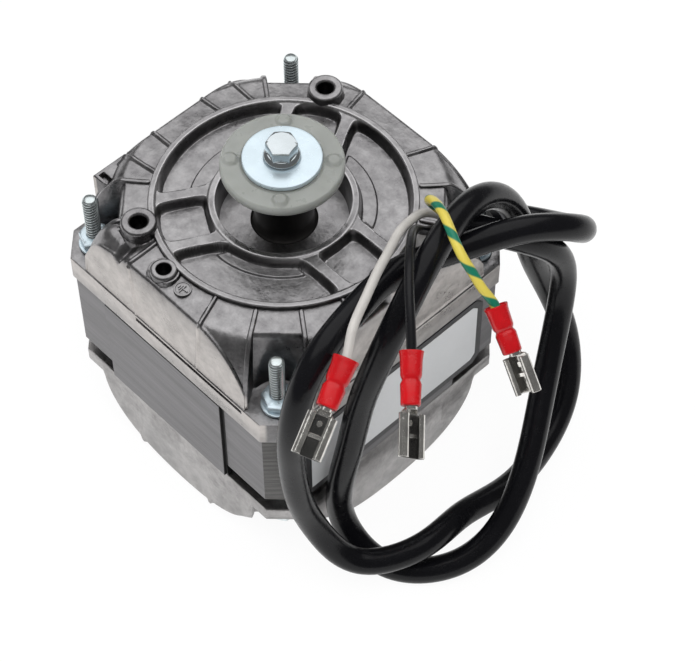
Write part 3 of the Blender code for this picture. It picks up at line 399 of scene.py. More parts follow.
def meshFrom(name, points, faces, mat=None, uv=None, sharp=35):
    # piece at the origin from points in mm; uv is one pair a point; edges past the sharp angle stay crisp
    mesh = bpy.data.meshes.new(name)
    mesh.from_pydata((np.asarray(points) * mm).tolist(), [], [list(map(int, f)) for f in faces])
    mesh.update()
    obj = bpy.data.objects.new(name, mesh)
    bpy.context.scene.collection.objects.link(obj)
    if mat:
        mesh.materials.append(mat)
    if uv is not None:
        layer = mesh.uv_layers.new(name="along")
        loops = np.zeros(len(mesh.loops), dtype=np.int32)
        mesh.loops.foreach_get("vertex_index", loops)
        layer.data.foreach_set("uv", uv[loops].astype(np.float32).ravel())
    mesh.shade_smooth()
    mesh.set_sharp_from_angle(angle=radians(sharp))
    return obj


def evenTurn(count, start=0.0):
    # count angles round the full circle, the first one start steps on
    return 2 * pi * (np.arange(count) + start) / count


def polar(r, angle, z, centre=(0, 0)):
    # points at radius r and height z over the angle
    return np.stack(np.broadcast_arrays(centre[0] + r * np.cos(angle), centre[1] + r * np.sin(angle), z), -1)


def rowArrays(rows, angle):
    # list of (radius, height), each a number or an array over the angle, as one array of each
    return [np.vstack([np.broadcast_to(row[i], angle.shape) for row in rows]) for i in (0, 1)]


def turned(name, profile, steps=96, mat=None, centre=(0, 0), closed=False, sharp=35):
    # profile of (radius, height) carried round +Z; an open profile starts and ends near the axis
    profile = np.array(profile, float)
    points = polar(profile[:, :1], evenTurn(steps), profile[:, 1:], centre)
    return gridMesh(name, points, closeRows=closed, mat=mat, sharp=sharp)


def rounded(profile, radius, steps=4, closed=False):
    # each corner b of a profile replaced by the curve (1-t)^2 start + 2t(1-t) b + t^2 end
    p = np.array(profile, float)
    out = []
    count = len(p)
    for i in range(count):
        if not closed and i in (0, count - 1):
            out.append(p[i])
            continue
        a, b, c = p[i - 1], p[i], p[(i + 1) % count]
        ra = min(radius, 0.45 * np.linalg.norm(a - b))
        rc = min(radius, 0.45 * np.linalg.norm(c - b))
        start = b + (a - b) / (np.linalg.norm(a - b) + 1e-9) * ra
        end = b + (c - b) / (np.linalg.norm(c - b) + 1e-9) * rc
        t = np.linspace(0, 1, steps)[:, None]
        out.extend((1 - t) ** 2 * start + 2 * t * (1 - t) * b + t ** 2 * end)
    return np.array(out)


def softStep(distance, width):
    # 0 to 1 across a slope of this width, centred on distance 0: t^2 (3 - 2t)
    t = np.clip(distance / width + 0.5, 0, 1)
    return t * t * (3 - 2 * t)


def softMax(a, b, blend):
    # the larger of two, the crease between them rounded over blend
    return 0.5 * (a + b + np.sqrt((a - b) ** 2 + blend ** 2))


def softMin(a, b, blend):
    # the smaller of two, the crease between them rounded over blend
    return 0.5 * (a + b - np.sqrt((a - b) ** 2 + blend ** 2))


body = {"half": 42.0, "cut": 6.4, "flangeTop": 66.0, "rearHeight": 26.0, "rearBand": 5.0, "coreHalf": 41.2,
        "coreCut": 5.8, "studPitch": 34.45}
cover = {"ringIn": 32.1, "ringTop": 20.0, "hubIn": 16.8, "hubOut": 18.9, "hubTop": 19.7, "bore": 8.6,
         "wellFloor": 12.0, "pocketFloor": 16.4, "spokeTop": 19.4, "spokeNear": 6.4, "spokeFar": 9.2,
         "padOut": (23.4, 24.4, 22.6), "padRise": 0.5, "padInset": 1.6, "under": 9.0, "rim": 33.6}
shoulder = {"top": 17.9, "start": 41.2, "reach": 9.8, "crown": 0.7, "crownRun": 7.2, "draft": 0.8,
            "ledge": 0.45, "rim": 1.1, "mould": 0.4, "ribRise": 0.65, "ribHalf": 0.5,
            "ribFrom": 32, "ribRun": 9.3,
            "ribs": {0: ((-10.5, -13.8), (10.5, 13.8)), 1: ((-10.5, -13.5), (10.7, 13.2)),
                     2: ((-17.2, -18), (-8.5, -8.2), (8.5, 8.2), (17.2, 18)),
                     3: ((-12, -12.5), (10.5, 13.8))},   # per side, place at the ring and at the edge
            "crease": (-16.2, 1.3), "swell": (-25.0, 3.8), "creaseHigh": 2.2, "edge": 39.3,
            "mouldLines": ((13.8, 12.6), (-12.6, -10.2)), "slot": (-10, 29, 1.1), "bend": 39.0}
pocket = {"backWall": 44.0, "slope": 5.6, "recess": 7.4, "halfAngle": 9.1, "ribHalf": 0.65, "ribFrom": 34.2}
hood = {"y": (-27.3, -15.5), "x": (-42.0, -33.0), "top": 15.2, "rim": 0.4, "overFall": 0.8, "ribFall": 4.5,
        "slotHalf": 0.7, "slotDepth": 1.6, "slotFrom": 1.3, "slotLong": 6.4, "slotIn": 1.9,
        "notchHalf": 0.55, "notchDepth": 1.6, "notchLong": 3, "notchIn": 1.3}
bossSize = {"circle": 36.7, "radius": 4.6, "top": 21.9, "hole": 2.1, "sink": 0.55}
earthSize = {"circle": 36.5, "radius": 3.5, "top": 20.2, "hole": 1.85, "sink": 0.25, "angle": 263.9}
discSize = {"radius": 2.25, "top": 18.9, "turn": 11.0, "rim": 0.4, "sunk": 0.22}
mound = {"foot": 8.0, "below": 1.5, "spread": 0.5, "slope": 1.8, "sunk": 12, "inside": 0.9, "plinth": 19.4,
         "plinthOut": 4.5}
studRadius = body["studPitch"] * sqrt(2)
studPlaces = [(sx * body["studPitch"], sy * body["studPitch"])
              for sx, sy in ((1, 1), (-1, 1), (-1, -1), (1, -1))]


def onCircle(radius, degrees):
    # x and y at this angle round the shaft
    return radius * cos(radians(degrees)), radius * sin(radians(degrees))


bossPlaces = [onCircle(bossSize["circle"], a) for a in (0, 120, 240)]
earthPlace = onCircle(earthSize["circle"], earthSize["angle"])
discPlace = onCircle(earthSize["circle"], earthSize["angle"] + discSize["turn"])


def borderRadius(angle, half, cut):
    # distance from the axis to the edge of a square with cut corners
    c, s = np.abs(np.cos(angle)), np.abs(np.sin(angle))
    return np.minimum(half / np.maximum(c, s), (2 * half - cut) / (c + s))


def fromDiagonal(angle):
    # signed turn from the nearest diagonal
    return (angle % (pi / 2)) - pi / 4


def fallOf(r):
    # slightly crowned to the shoulder's start, then down to the foot like a superellipse (1 - u^1.6)^(1/1.5)
    u = np.clip((r - shoulder["start"]) / shoulder["reach"], 0, 1)
    crown = np.clip((shoulder["start"] - r) / shoulder["crownRun"], 0, 1) ** 1.5
    return (shoulder["top"] + shoulder["crown"] * crown) * (1 - u ** 1.6) ** (1 / 1.5)


def ridgeLine(distance, width=0.55, soft=0.5):
    # 1 on the line, down to 0 where the distance passes the width
    return softStep(width - np.abs(distance), soft)


def withMounds(x, y, z):
    # casting swells round the foot of each boss and sinks inside it; the earth boss stands on a steep plinth
    foot = mound["foot"]
    for (bx, by), size in [(p, bossSize) for p in bossPlaces] + [(earthPlace, earthSize)]:
        d = np.hypot(x - bx, y - by)
        swell = softStep(size["radius"] + mound["spread"] - d, mound["slope"])
        z = softMax(z, foot + (size["top"] - mound["below"] - foot) * swell, 0.35)
        z = z + (np.minimum(z, mound["sunk"]) - z) * softStep(size["radius"] - mound["inside"] - d, 0.6)
    d = np.hypot(x - earthPlace[0], y - earthPlace[1])
    outside = softStep(d - earthSize["radius"] + 0.3, 0.5)
    plinth = foot + (mound["plinth"] - foot) * softStep(mound["plinthOut"] - d, 1.0)
    return z + (softMax(z, plinth, 0.3) - z) * outside


def innerFace(x, y):
    # land with ridges at ring and hub, six pockets sunk in it, a low bare pad in each wide pocket, the well
    # inside: each a soft step of the distance to its border, a pocket's taken to the nearest of four borders
    c = cover
    far = -9.0
    r = np.hypot(x, y)
    land = c["spokeTop"] + (c["hubTop"] - c["spokeTop"]) * softStep(c["hubOut"] + 0.1 - r, 0.8)
    land = land + (c["ringTop"] - c["spokeTop"]) * softStep(r - c["ringIn"] - 0.1, 0.8)
    plan = np.full_like(r, far)
    pad = np.zeros_like(r)
    for k in range(3):
        a, b = k * 2 * pi / 3, (k + 1) * 2 * pi / 3
        along, across = x * cos(a) + y * sin(a), -x * sin(a) + y * cos(a)
        following = -x * sin(b) + y * cos(b)
        plan = np.maximum(plan, np.where(along > 0, c["spokeNear"] - np.abs(across), far))
        wide = np.minimum(across - c["spokeFar"], -following - c["spokeFar"])
        plan = np.maximum(plan, wide)
        pad = np.maximum(pad, softStep(softMin(c["padOut"][k] - r, wide - c["padInset"], 0.6), 0.45))
    depth = softMin(softMin(r - c["hubOut"], c["ringIn"] - r, 0.6), plan, 1.5)
    z = land + (c["pocketFloor"] + c["padRise"] * pad - land) * softStep(depth - 0.35, 1.0)
    z = c["wellFloor"] + (z - c["wellFloor"]) * softStep(r - c["hubIn"], 0.9)
    return np.where(r > 30, withMounds(x, y, z), z)   # the bosses stand outside 30


def shoulderFace(x, y):
    # fall of the shoulder, thin ribs given by their place at the ring and at the edge, at one end a crease
    # and a swell, both bell curves of x
    z = fallOf(np.hypot(x, y))
    for side, offsets in shoulder["ribs"].items():
        a = side * pi / 2
        out, across = x * cos(a) + y * sin(a), -x * sin(a) + y * cos(a)
        for near, far in offsets:
            line = near + (far - near) * (out - shoulder["ribFrom"]) / shoulder["ribRun"]
            z = z + shoulder["ribRise"] * ridgeLine(across - line, shoulder["ribHalf"]) * (out > 0)
    front = shoulder["creaseHigh"] * softStep(-y - 36, 5)
    for sign, (middle, width) in ((-1, shoulder["crease"]), (1, shoulder["swell"])):
        z = z + sign * front * np.exp(-((x - middle) / width) ** 2)
    nearEdge = softStep(np.maximum(np.abs(x), np.abs(y)) - shoulder["edge"], 1.2)
    return withMounds(x, y, z) * (1 - nearEdge) + z * nearEdge


# size and strength of the painted highlight along the cover's rims
highlightRimShape = {"reach": 0.3, "from": 18.2, "leastDrop": 0.12, "mostDrop": 0.9, "ring": 33.55, "ringWidth": 0.2,
           "ringShare": 0.4, "inside": 16}


def faceHighlight(x, y):
    # painted highlight on rims where the face is high and a step away it is lower, and along the outer ring
    w = highlightRimShape
    reach = w["reach"]
    z = innerFace(x, y)
    lower = z + 9
    for dx, dy in ((reach, 0), (-reach, 0), (0, reach), (0, -reach)):
        lower = np.minimum(lower, innerFace(x + dx, y + dy))
    edge = softStep(z - lower - w["leastDrop"], 0.2) * softStep(w["mostDrop"] - (z - lower), 0.5)
    high = softStep(z - w["from"], 0.8) * edge
    r = np.hypot(x, y)
    ring = w["ringShare"] * np.exp(-((r - w["ring"]) / w["ringWidth"]) ** 2)
    return np.clip(high + ring, 0, 1) * (r > w["inside"])


def castingPoints(rows, angle):
    # rows of (radius, height over the flange) as points
    r, z = rowArrays(rows, angle)
    return polar(r, angle, z + body["flangeTop"])


def faceGrid():
    # heights of the inner face over a polar grid, closer rows on the slopes, closed by a plain underside;
    # with each point's painted highlight
    angle = evenTurn(960, 0.5)
    co, si = np.cos(angle), np.sin(angle)
    stops = [(cover["bore"], 16.0, 3), (16.0, 17.4, 8), (17.4, 18.7, 4), (18.7, 20.2, 8), (20.2, 22.2, 4),
             (22.2, 24.9, 19), (24.9, 30.8, 8), (30.8, 32.3, 8), (32.3, 33.5, 5)]   # from, to, rows
    radii = np.concatenate([np.linspace(a, b, n, endpoint=False) for a, b, n in stops])
    rows = [(r, innerFace(r * co, r * si)) for r in radii]
    paintedLight = [faceHighlight(r * co, r * si) for r in radii]
    edge = innerFace(cover["rim"] * co, cover["rim"] * si)
    rows += [(cover["rim"] + 0.05, edge), (cover["rim"] + 0.3, edge - 0.1), (cover["rim"] + 0.4, edge - 0.4),
             (cover["rim"] + 0.45, 15), (cover["rim"] + 0.45, cover["under"]),
             (cover["bore"], cover["under"])]
    # painted highlight on the rounded outer rim
    paintedLight += [level + 0 * angle for level in (0.35, 0.2, 0, 0, 0, 0)]
    return castingPoints(rows, angle), np.vstack(paintedLight)


def wallRadius(angle, z):
    # side face leaning in, or in the corner pockets a leaning flat cut by the round recess of the nut
    turn = fromDiagonal(angle)
    lean = shoulder["draft"] * z / shoulder["top"]
    side = borderRadius(angle, body["half"] - shoulder["ledge"] - lean, body["cut"])
    flat = (pocket["backWall"] - z / pocket["slope"]) / np.cos(turn)
    chord = pocket["recess"] ** 2 - (studRadius * np.sin(turn)) ** 2
    recess = studRadius * np.cos(turn) - np.sqrt(np.maximum(chord, 0))
    recess = recess + np.where(chord < 0, 9.0, 0)
    back = softMin(flat, np.minimum(recess, flat + 2), 0.35)
    return np.where(np.abs(turn) < radians(pocket["halfAngle"]), back, side)


def skirtGrid():
    # shoulder out to its edge, quarter-round rim, walls down to the flange, its rim with the slot, underside
    angle = evenTurn(1120, 0.5)
    co, si = np.cos(angle), np.sin(angle)
    rim, bend, inner = shoulder["rim"], shoulder["bend"], 33.7
    low = borderRadius(angle, body["half"], body["cut"])
    plain = fallOf(low)
    for _ in range(4):   # the edge lies where the wall meets the fall
        top = wallRadius(angle, np.maximum(plain, 0))
        plain = fallOf(top - rim)
    edge = np.maximum(shoulderFace((top - rim) * co, (top - rim) * si), 0.5)
    rows = [(inner - 0.3, 10.0), (inner - 0.3, 17.0)]
    for t in np.linspace(0, 1, 20):
        r = inner + t * (bend - inner)
        rows.append((r, shoulderFace(r * co, r * si)))
    for t in np.linspace(0, 1, 15)[1:]:
        r = bend + t * (top - rim - bend)
        rows.append((r, np.maximum(shoulderFace(r * co, r * si), 0.5)))
    for a in (15, 35, 55, 75):
        drop = rim * (1 - cos(radians(a)))
        rows.append((top - rim * (1 - sin(radians(a))), np.maximum(edge - drop, 0.4)))
    for t in np.linspace(1, 0, 13):
        z = np.maximum(0.3 + (edge - 0.3 - rim) * t, 0.3)
        mark = 0 * angle
        for high, foot in shoulder["mouldLines"]:
            place = foot + (high - foot) * z / shoulder["top"]
            mark = np.maximum(mark, ridgeLine(low * co - place, 0.4, 0.45) * (si < -0.7))
        rows.append((wallRadius(angle, z) + shoulder["mould"] * mark * (edge > 2), z))
    foot = wallRadius(angle, 0 * angle)
    rows += [(foot + 0.1, 0.08), (np.minimum(foot + 0.3, low - 0.33), 0.0)]
    for t in (0.35, 0.7):
        rows.append((foot + 0.3 + t * (low - 0.33 - foot - 0.3), 0.0))
    x0, x1, deep = shoulder["slot"]
    slit = np.where((si < -0.5) & (low * co > x0) & (low * co < x1), deep, 0.0)
    rows += [(low - 0.3, 0.0), (low - 0.08, -0.08), (low, -0.3), (low, -0.6), (low - slit, -0.62),
             (low - slit, -1.9), (low, -2.0), (low, -7.5), (low - 0.2, -7.7), (33.0, -7.7), (33.0, 9.0)]
    return castingPoints(rows, angle)


def cornerBlade(k):
    # radial rib beside a corner pocket: rounded section carried along the fall of the shoulder to its foot
    angle = pi / 4 + (k // 2) * pi / 2 + (1 if k % 2 else -1) * radians(pocket["halfAngle"])
    u = np.linspace(0, 1, 70)
    inner, outer = pocket["ribFrom"], shoulder["start"] + shoulder["reach"]
    r = inner + (outer - inner) * (1 - (1 - u) ** 1.7)
    height = np.maximum(fallOf(r - 0.15) + shoulder["ribRise"], 0.3)
    w = pocket["ribHalf"]
    across = np.array([-w, -w, -0.8 * w, -0.4 * w, 0.4 * w, 0.8 * w, w, w])
    drop = np.array([99, 0.35, 0.1, 0, 0, 0.1, 0.35, 99])
    z = np.maximum(height[:, None] - drop, -0.3)
    across = across[None] * np.where((u[:, None] <= 0) | (u[:, None] >= 1), 0.02, 1)
    x = r[:, None] * cos(angle) - across * sin(angle)
    y = r[:, None] * sin(angle) + across * cos(angle)
    return np.stack([x, y, z + body["flangeTop"]], -1)


def hoodGrid():
    # block over the cable's way out: level with soft borders, falling away along the corner rib's line,
    # with a groove and a notch as soft steps
    x0, x1 = hood["x"]
    y0, y1 = hood["y"]
    u = np.concatenate([[0, 0, 0.12, 0.4], np.linspace(0.5, x1 - x0 - 0.5, 34), [x1 - x0, x1 - x0]])
    v = np.concatenate([[0, 0, 0.01, 0.03], np.linspace(0.05, 0.96, 56), [0.97, 0.99, 1, 1]])
    ribSlope = tan(pi / 4 - radians(pocket["halfAngle"]))
    x = x0 + 0.05 + u[:, None] + 0 * v
    start = np.maximum(y0, ribSlope * x + 0.2)
    y = start + v * (y1 - start)
    inside = np.minimum(np.minimum(x - x0, x1 - x + 1), np.minimum(y - y0, y1 - y))
    z = hood["top"] - hood["rim"] * (1 - np.clip(inside / hood["rim"], 0, 1)) ** 2
    fromRib = (y - ribSlope * x) * cos(atan(ribSlope))
    z = softMin(z, fallOf(np.hypot(x, y)) + hood["overFall"] + hood["ribFall"] * fromRib, 0.4)
    slotAlong = np.minimum(x - x0 - hood["slotFrom"], hood["slotLong"] - x + x0)
    slotAcross = hood["slotHalf"] - np.abs(y - y0 - hood["slotIn"])
    z = z - hood["slotDepth"] * softStep(np.minimum(slotAcross, slotAlong), 0.4)
    notchAcross = hood["notchHalf"] - np.abs(y - y1 + hood["notchIn"])
    notch = np.minimum(notchAcross, x0 + hood["notchLong"] - x)
    z = z - hood["notchDepth"] * softStep(notch, 0.35)
    z[0, :] = z[-1, :] = z[:, 0] = z[:, -1] = 0.2
    return np.stack([x, y, z + body["flangeTop"]], -1)


def boss(name, place, size):
    # tube with a sunk hole edge, turned from its rounded profile
    f = body["flangeTop"]
    hole, radius, top, sink = size["hole"], size["radius"], size["top"], size["sink"]
    profile = [(hole, f + 9), (hole, f + top - sink), (hole + sink, f + top), (radius - 0.5, f + top),
               (radius, f + top - 0.5), (radius + 0.25, f + 10), (radius, f + 9)]
    return turned(name, rounded(profile, 0.35, 4, closed=True), 72, castTop, place, closed=True)


facePoints, faceRimHighlight = faceGrid()
coverParts = [gridMesh("castFace", facePoints, closeRows=True, mat=castTop, sharp=50, paintedLight=faceRimHighlight),
              gridMesh("castSkirt", skirtGrid(), closeRows=True, mat=castTop, sharp=50),
              gridMesh("cableHood", hoodGrid(), closeCols=False, mat=castTop, sharp=50)]
for k in range(8):
    coverParts.append(gridMesh("cornerRib%d" % (k + 1), cornerBlade(k), mat=castTop, sharp=50))
for k, place in enumerate(bossPlaces):
    coverParts.append(boss("screwBoss%d" % (k + 1), place, bossSize))
coverParts.append(boss("earthBoss", earthPlace, earthSize))
discTop = body["flangeTop"] + discSize["top"]
discIn, discFloor = discSize["radius"] - discSize["rim"], discTop - discSize["sunk"]
discProfile = [(0.03, discTop - 2), (discSize["radius"] + 0.05, discTop - 2), (discSize["radius"], discTop),
               (discIn, discTop), (discIn - 0.05, discFloor), (0.03, discFloor)]
coverParts.append(turned("earthDisc", rounded(discProfile, 0.12, 3), 48, castTop, discPlace))
earthLines = ((-0.75, 0, 0.75, 0.14), (0, 0, 0.14, 1.2), (0.55, 0, 0.14, 0.8), (1.1, 0, 0.14, 0.4))


def earthBars():
    # stem and three bars, each a small box of (along, across, half sizes), turned with the disc's own place
    a = radians(earthSize["angle"] + discSize["turn"] - 90)
    turn = np.array([(cos(a), sin(a), 0), (-sin(a), cos(a), 0), (0, 0, 1)])
    square = ((-1, -1), (1, -1), (1, 1), (-1, 1))
    corners = np.array([(da, dc, dz) for dz in (-0.3, 0.05) for da, dc in square])
    sides = np.array([(3, 2, 1, 0), (4, 5, 6, 7), (0, 1, 5, 4), (1, 2, 6, 5), (2, 3, 7, 6), (3, 0, 4, 7)])
    boxes = [corners * (halfAlong, halfAcross, 1) + (along, across, 0)
             for along, across, halfAlong, halfAcross in earthLines]
    points = np.concatenate(boxes) @ turn + (*discPlace, discTop)
    faces = np.concatenate([sides + 8 * k for k in range(len(boxes))])
    return meshFrom("earthMark", points, faces, castTop)


coverParts.append(earthBars())
tower = {"bore": 3.6, "from": 70, "top": 92.5, "capIn": 7.6, "cap": 8.3, "neck": (7.5, 80.5),
         "foot": (8.4, 78.0)}
towerProfile = [(tower["bore"], tower["from"]), (tower["bore"], tower["top"]), (tower["capIn"], tower["top"]),
                (tower["cap"], tower["top"] - 0.8), tower["neck"], (7.9, 78.4), tower["foot"],
                (tower["foot"][0], tower["from"])]
towerPoints = rounded(towerProfile, 0.7, 5, closed=True)
coverParts.append(turned("bearingTower", towerPoints, 96, castShadowed, closed=True))
for piece in coverParts:
    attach(piece, "stator")
    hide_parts("front_bracket")
print("cover made")


rear = {"flat": 33, "run": 17.2, "ribs": (-15.0, 12.0), "ribRise": 1.7, "recess": 6.6, "jointDeep": 1.1,
        "joint": (-22.5, 20.0), "groove": (20.5, 28.5), "grooveDeep": 1.6}


def cornerLimit(x, y, recess):
    # height left standing by the pocket that frees a stud's end in the rear shell: a leaning back wall, cut
    # by the swing of the pocket's sides and by the round recess
    ax, ay = np.abs(x), np.abs(y)
    r = np.hypot(x, y)
    wall = (pocket["backWall"] - (ax + ay) / sqrt(2)) * pocket["slope"]
    swing = radians(pocket["halfAngle"]) - np.abs(np.arctan2(ay, ax) - pi / 4)
    limit = np.maximum(wall, (0.3 - r * np.sin(swing)) * 9)
    studDistance = np.hypot(ax - body["studPitch"], ay - body["studPitch"])
    limit = np.minimum(limit, np.maximum((studDistance - recess) * 12.0, 0))
    return np.maximum(limit, 0)


def rearDepth(x, y):
    # depth of the rear shell below its band: superellipse (1 - u^2.3)^(1/1.9), ribs, corner pockets, groove
    r = np.hypot(x, y)
    full = body["rearHeight"] - body["rearBand"]
    u = np.clip((r - rear["flat"]) / rear["run"], 0, 1)
    z = full * (1 - u ** 2.3) ** (1 / 1.9)
    for offset in rear["ribs"]:
        z = z + rear["ribRise"] * softStep(0.7 - np.abs(x - offset), 0.6) * softStep(-y - 37, 3)
    z = softMin(z, cornerLimit(x, y, rear["recess"]), 0.9)
    z = np.where(np.maximum(z, 0) < 0.6, np.maximum(z, 0) ** 2 / 0.6 * 0.8, z)
    groove = softStep(np.minimum(r - rear["groove"][0], rear["groove"][1] - r), 1.0)
    return np.minimum(z, full) - rear["grooveDeep"] * groove


def rearGrid():
    # band with a dark joint on the -Y side, the dome by its depth over a polar grid, then the hollow side
    angle = evenTurn(720, 0.5)
    co, si = np.cos(angle), np.sin(angle)
    border = borderRadius(angle, body["coreHalf"], body["coreCut"])
    inside = border - 0.3
    band = body["rearHeight"] - body["rearBand"]
    edge = rearDepth(inside * co, inside * si)
    along = np.minimum(border * co - rear["joint"][0], rear["joint"][1] - border * co)
    joint = rear["jointDeep"] * softStep(along, 0.8) * (si < -0.8)
    top = body["rearHeight"] - gap - joint
    rows = [(36.8, top - 2 * joint), (border - 1.2 * joint - 0.35, top - 2 * joint), (inside, top),
            (border, top - 0.3), (border, np.minimum(band - edge + 0.3, band + 0.4)), (inside, band - edge)]
    radii = [rear["flat"] + t * (inside - rear["flat"]) for t in np.linspace(1, 0, 44)[1:]]
    radii += [31, 29.2, 28.8, 28.4, 28.0, 27, 22, 21, 20.6, 20.2, 19.8, 10, 1.0]
    rows += [(r, band - rearDepth(r * co, r * si)) for r in radii]
    rows += [(1.0, 3.0), (9.0, 3.0), (9.3, 4.0), (9.3, 3.6), (30.0, 3.6), (36.0, 9.0), (36.5, 25.0)]
    r, z = rowArrays(rows, angle)
    return polar(r, angle, z)


rearPiece = gridMesh("rearShell", rearGrid(), closeRows=True, mat=castRear, sharp=50)
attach(rearPiece, "stator")
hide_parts("rear_bracket")
print("rear shell made")

nodeFinish = {"stator_core": coreStack, "stator_winding": enamelFinish, "rotor_core": coreStack,
              "shaft": groundSteel, "front_bush": bronzeFinish, "rear_bush": bronzeFinish,
              "front_bearing_cap": studPlate, "rear_bearing_cap": studPlate,
              "front_thrust_washer": fibreFinish, "rear_thrust_washer": fibreFinish}
for nodeName, finishMat in nodeFinish.items():
    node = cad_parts[nodeName]
    node.data.materials.clear()
    node.data.materials.append(finishMat)

thread = {"pitch": 1.0, "depth": 0.4, "columns": 40, "perTurn": 12, "tip": 0.6}
stud = {"radius": 2.0, "above": 18.4, "threadBelow": 6, "shank": 1.75, "headFlats": 7.0, "headThick": 3.4}
washer = {"hole": 2.3, "radius": 4.3, "thick": 0.9}
nutSize = {"hole": 1.75, "flats": 7.0, "thick": 3.2, "turn": radians(10)}


def threadedRod(name, place, radius, z0, z1, mat):
    # radius as a cosine of height / pitch - angle / turn, cut by a cone at the tip; painted shade darkens the
    # grooves
    angle = evenTurn(thread["columns"])
    rows = int((z1 - z0) / thread["pitch"] * thread["perTurn"])
    tip = thread["tip"]
    z = np.linspace(z0, z1, rows)[:, None] + 0 * angle
    wave = np.cos(2 * pi * (z / thread["pitch"] - angle / (2 * pi)))
    r = np.minimum(radius - thread["depth"] * (0.5 + 0.5 * wave),
                   radius - tip * np.clip((z - (z1 - tip)) / tip, 0, 1))
    # painted shade in the grooves, stored as negative painted light
    groove = -np.clip(2.5 * wave - 0.4, 0, 1) * (z < z1 - tip)
    ends = ((1, 1), (0, 0))
    r, z = np.pad(r, ends, constant_values=0.05), np.pad(z, ends, 'edge')
    return gridMesh(name, polar(r, angle, z, place), mat=mat, sharp=80, paintedLight=np.pad(groove, ends))


def hexBody(name, place, flats, z0, z1, hole, mat, turn=0.0):
    # hexagon radius over the angle; a cone rounds off the corners above and below, round a bore
    angle = evenTurn(144)
    sector = (angle - turn + pi / 6) % (pi / 3) - pi / 6
    half = flats / 2
    hexR = half / np.cos(sector)
    drop = (hexR - half) * 0.5
    inner = max(hole, 0.05)
    rows = [(inner, z0), (half - 0.2, z0), (hexR - 0.05, z0 + 0.08 + drop), (hexR, z0 + 0.2 + drop),
            (hexR, z1 - 0.2 - drop), (hexR - 0.05, z1 - 0.08 - drop), (half - 0.25, z1)]
    rows += [(inner + 0.35, z1), (inner, z1 - 0.35)] if hole else [(half - 0.6, z1), (0.05, z1)]
    r, z = rowArrays(rows, angle)
    return gridMesh(name, polar(r, angle, z, place), closeRows=bool(hole), mat=mat, sharp=25)


f0 = body["flangeTop"]
seatUnder = body["rearHeight"] - body["rearBand"] - gap
washerFrom = f0 + gap
nutFrom = washerFrom + washer["thick"] + gap
shankProfile = [(0.05, seatUnder - 0.5), (stud["shank"], seatUnder - 0.5), (stud["shank"], f0 - 5.8),
                (0.05, f0 - 5.8)]
ringProfile = rounded([(washer["hole"], washerFrom), (washer["radius"], washerFrom),
                       (washer["radius"], washerFrom + washer["thick"]),
                       (washer["hole"], washerFrom + washer["thick"])], 0.2, 3, True)
for k, place in enumerate(studPlaces, 1):
    rod = threadedRod("studThread%d" % k, place, stud["radius"], f0 - stud["threadBelow"], f0 + stud["above"],
                      studPlate)
    shank = turned("studShank%d" % k, shankProfile, 32, studPlate, place)
    head = hexBody("studHead%d" % k, place, stud["headFlats"], seatUnder - stud["headThick"], seatUnder, 0.0,
                   studPlate)
    for piece in (rod, shank, head):
        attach(piece, "stator")
        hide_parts("tie_stud_%d" % k)
    ring = turned("studWasher%d" % k, ringProfile, 64, zincPlate, place, True)
    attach(ring, "stator")
    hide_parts("stud_washer_%d" % k)
    nut = hexBody("studNut%d" % k, place, nutSize["flats"], nutFrom, nutFrom + nutSize["thick"],
                  nutSize["hole"], zincPlate, nutSize["turn"])
    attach(nut, "stator")
    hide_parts("stud_nut_%d" % k)
print("studs and nuts made")

hub = {"radius": 15.5, "top": 100.5, "low": 97.5, "foot": 93.2, "collar": 7.0, "bore": 3.3, "seat": 10.4,
       "sunk": 0.2, "nubCircle": 12.7, "nub": 1.75, "nubHeight": 0.9}
bolt = {"from": 89.2, "radius": 1.9, "washer": 10.0, "washerHole": 2.2, "washerThick": 1.3, "flange": 4.7,
        "flats": 7.0, "headTop": 5.0, "turn": radians(14)}


def hubGrid():
    # disc turned from its profile with a half-round rim, four soft nubs raised on its upper face
    angle = evenTurn(256)
    top, low, seat, bore, collar = hub["top"], hub["low"], hub["seat"], hub["bore"], hub["collar"]
    half = (top - low) / 2
    rows = [(bore, hub["foot"]), (collar, hub["foot"]), (collar, low - 0.5), (collar + 0.4, low - 0.1),
            (collar + 1, low), (hub["radius"] - 1.1, low)]
    rows += [(hub["radius"] - 0.6 + 0.6 * sin(a), low + half - half * cos(a)) for a in np.linspace(0, pi, 13)]
    rows += [(r, top) for r in np.linspace(hub["radius"] - 0.7, seat + 0.25, 26)]
    rows += [(seat, top - 0.06), (seat - 0.2, top - hub["sunk"]), (bore, top - hub["sunk"])]
    r, z = rowArrays(rows, angle)
    x, y = r * np.cos(angle), r * np.sin(angle)
    for k in range(4):
        nubX, nubY = onCircle(hub["nubCircle"], 45 + 90 * k)
        d = np.hypot(x - nubX, y - nubY)
        z = z + hub["nubHeight"] * softStep(hub["nub"] - d, 1.1) * (z > top - 0.4)
    return np.stack([x, y, z], -1)


hubPiece = gridMesh("hubDisc", hubGrid(), closeRows=True, mat=nylonMilky, sharp=60)
rotorPieces = [(hubPiece, "blade_hub", "milky_nylon")]
washerLow = hub["top"] - hub["sunk"] + gap
washerTop = washerLow + bolt["washerThick"]
washerProfile = rounded([(bolt["washerHole"], washerLow), (bolt["washer"], washerLow),
                         (bolt["washer"], washerTop), (bolt["washerHole"], washerTop)], 0.3, 4, True)
hubWasher = turned("hubWasher", washerProfile, 128, zincPlate, closed=True)
rotorPieces.append((hubWasher, "hub_washer", "bright_zinc"))
boltLow = washerTop + gap
flangeProfile = [(0.03, bolt["from"]), (bolt["radius"], bolt["from"]), (bolt["radius"], boltLow),
                 (bolt["flange"] - 0.3, boltLow), (bolt["flange"], boltLow + 0.35),
                 (bolt["flange"] - 0.2, boltLow + 0.8), (bolt["flange"] - 1, boltLow + 1.5),
                 (0.03, boltLow + 1.6)]
boltFlange = turned("hubBoltFlange", rounded(flangeProfile, 0.2, 3), 64, boltPlate)
rotorPieces.append((boltFlange, "hub_bolt", "bright_zinc"))
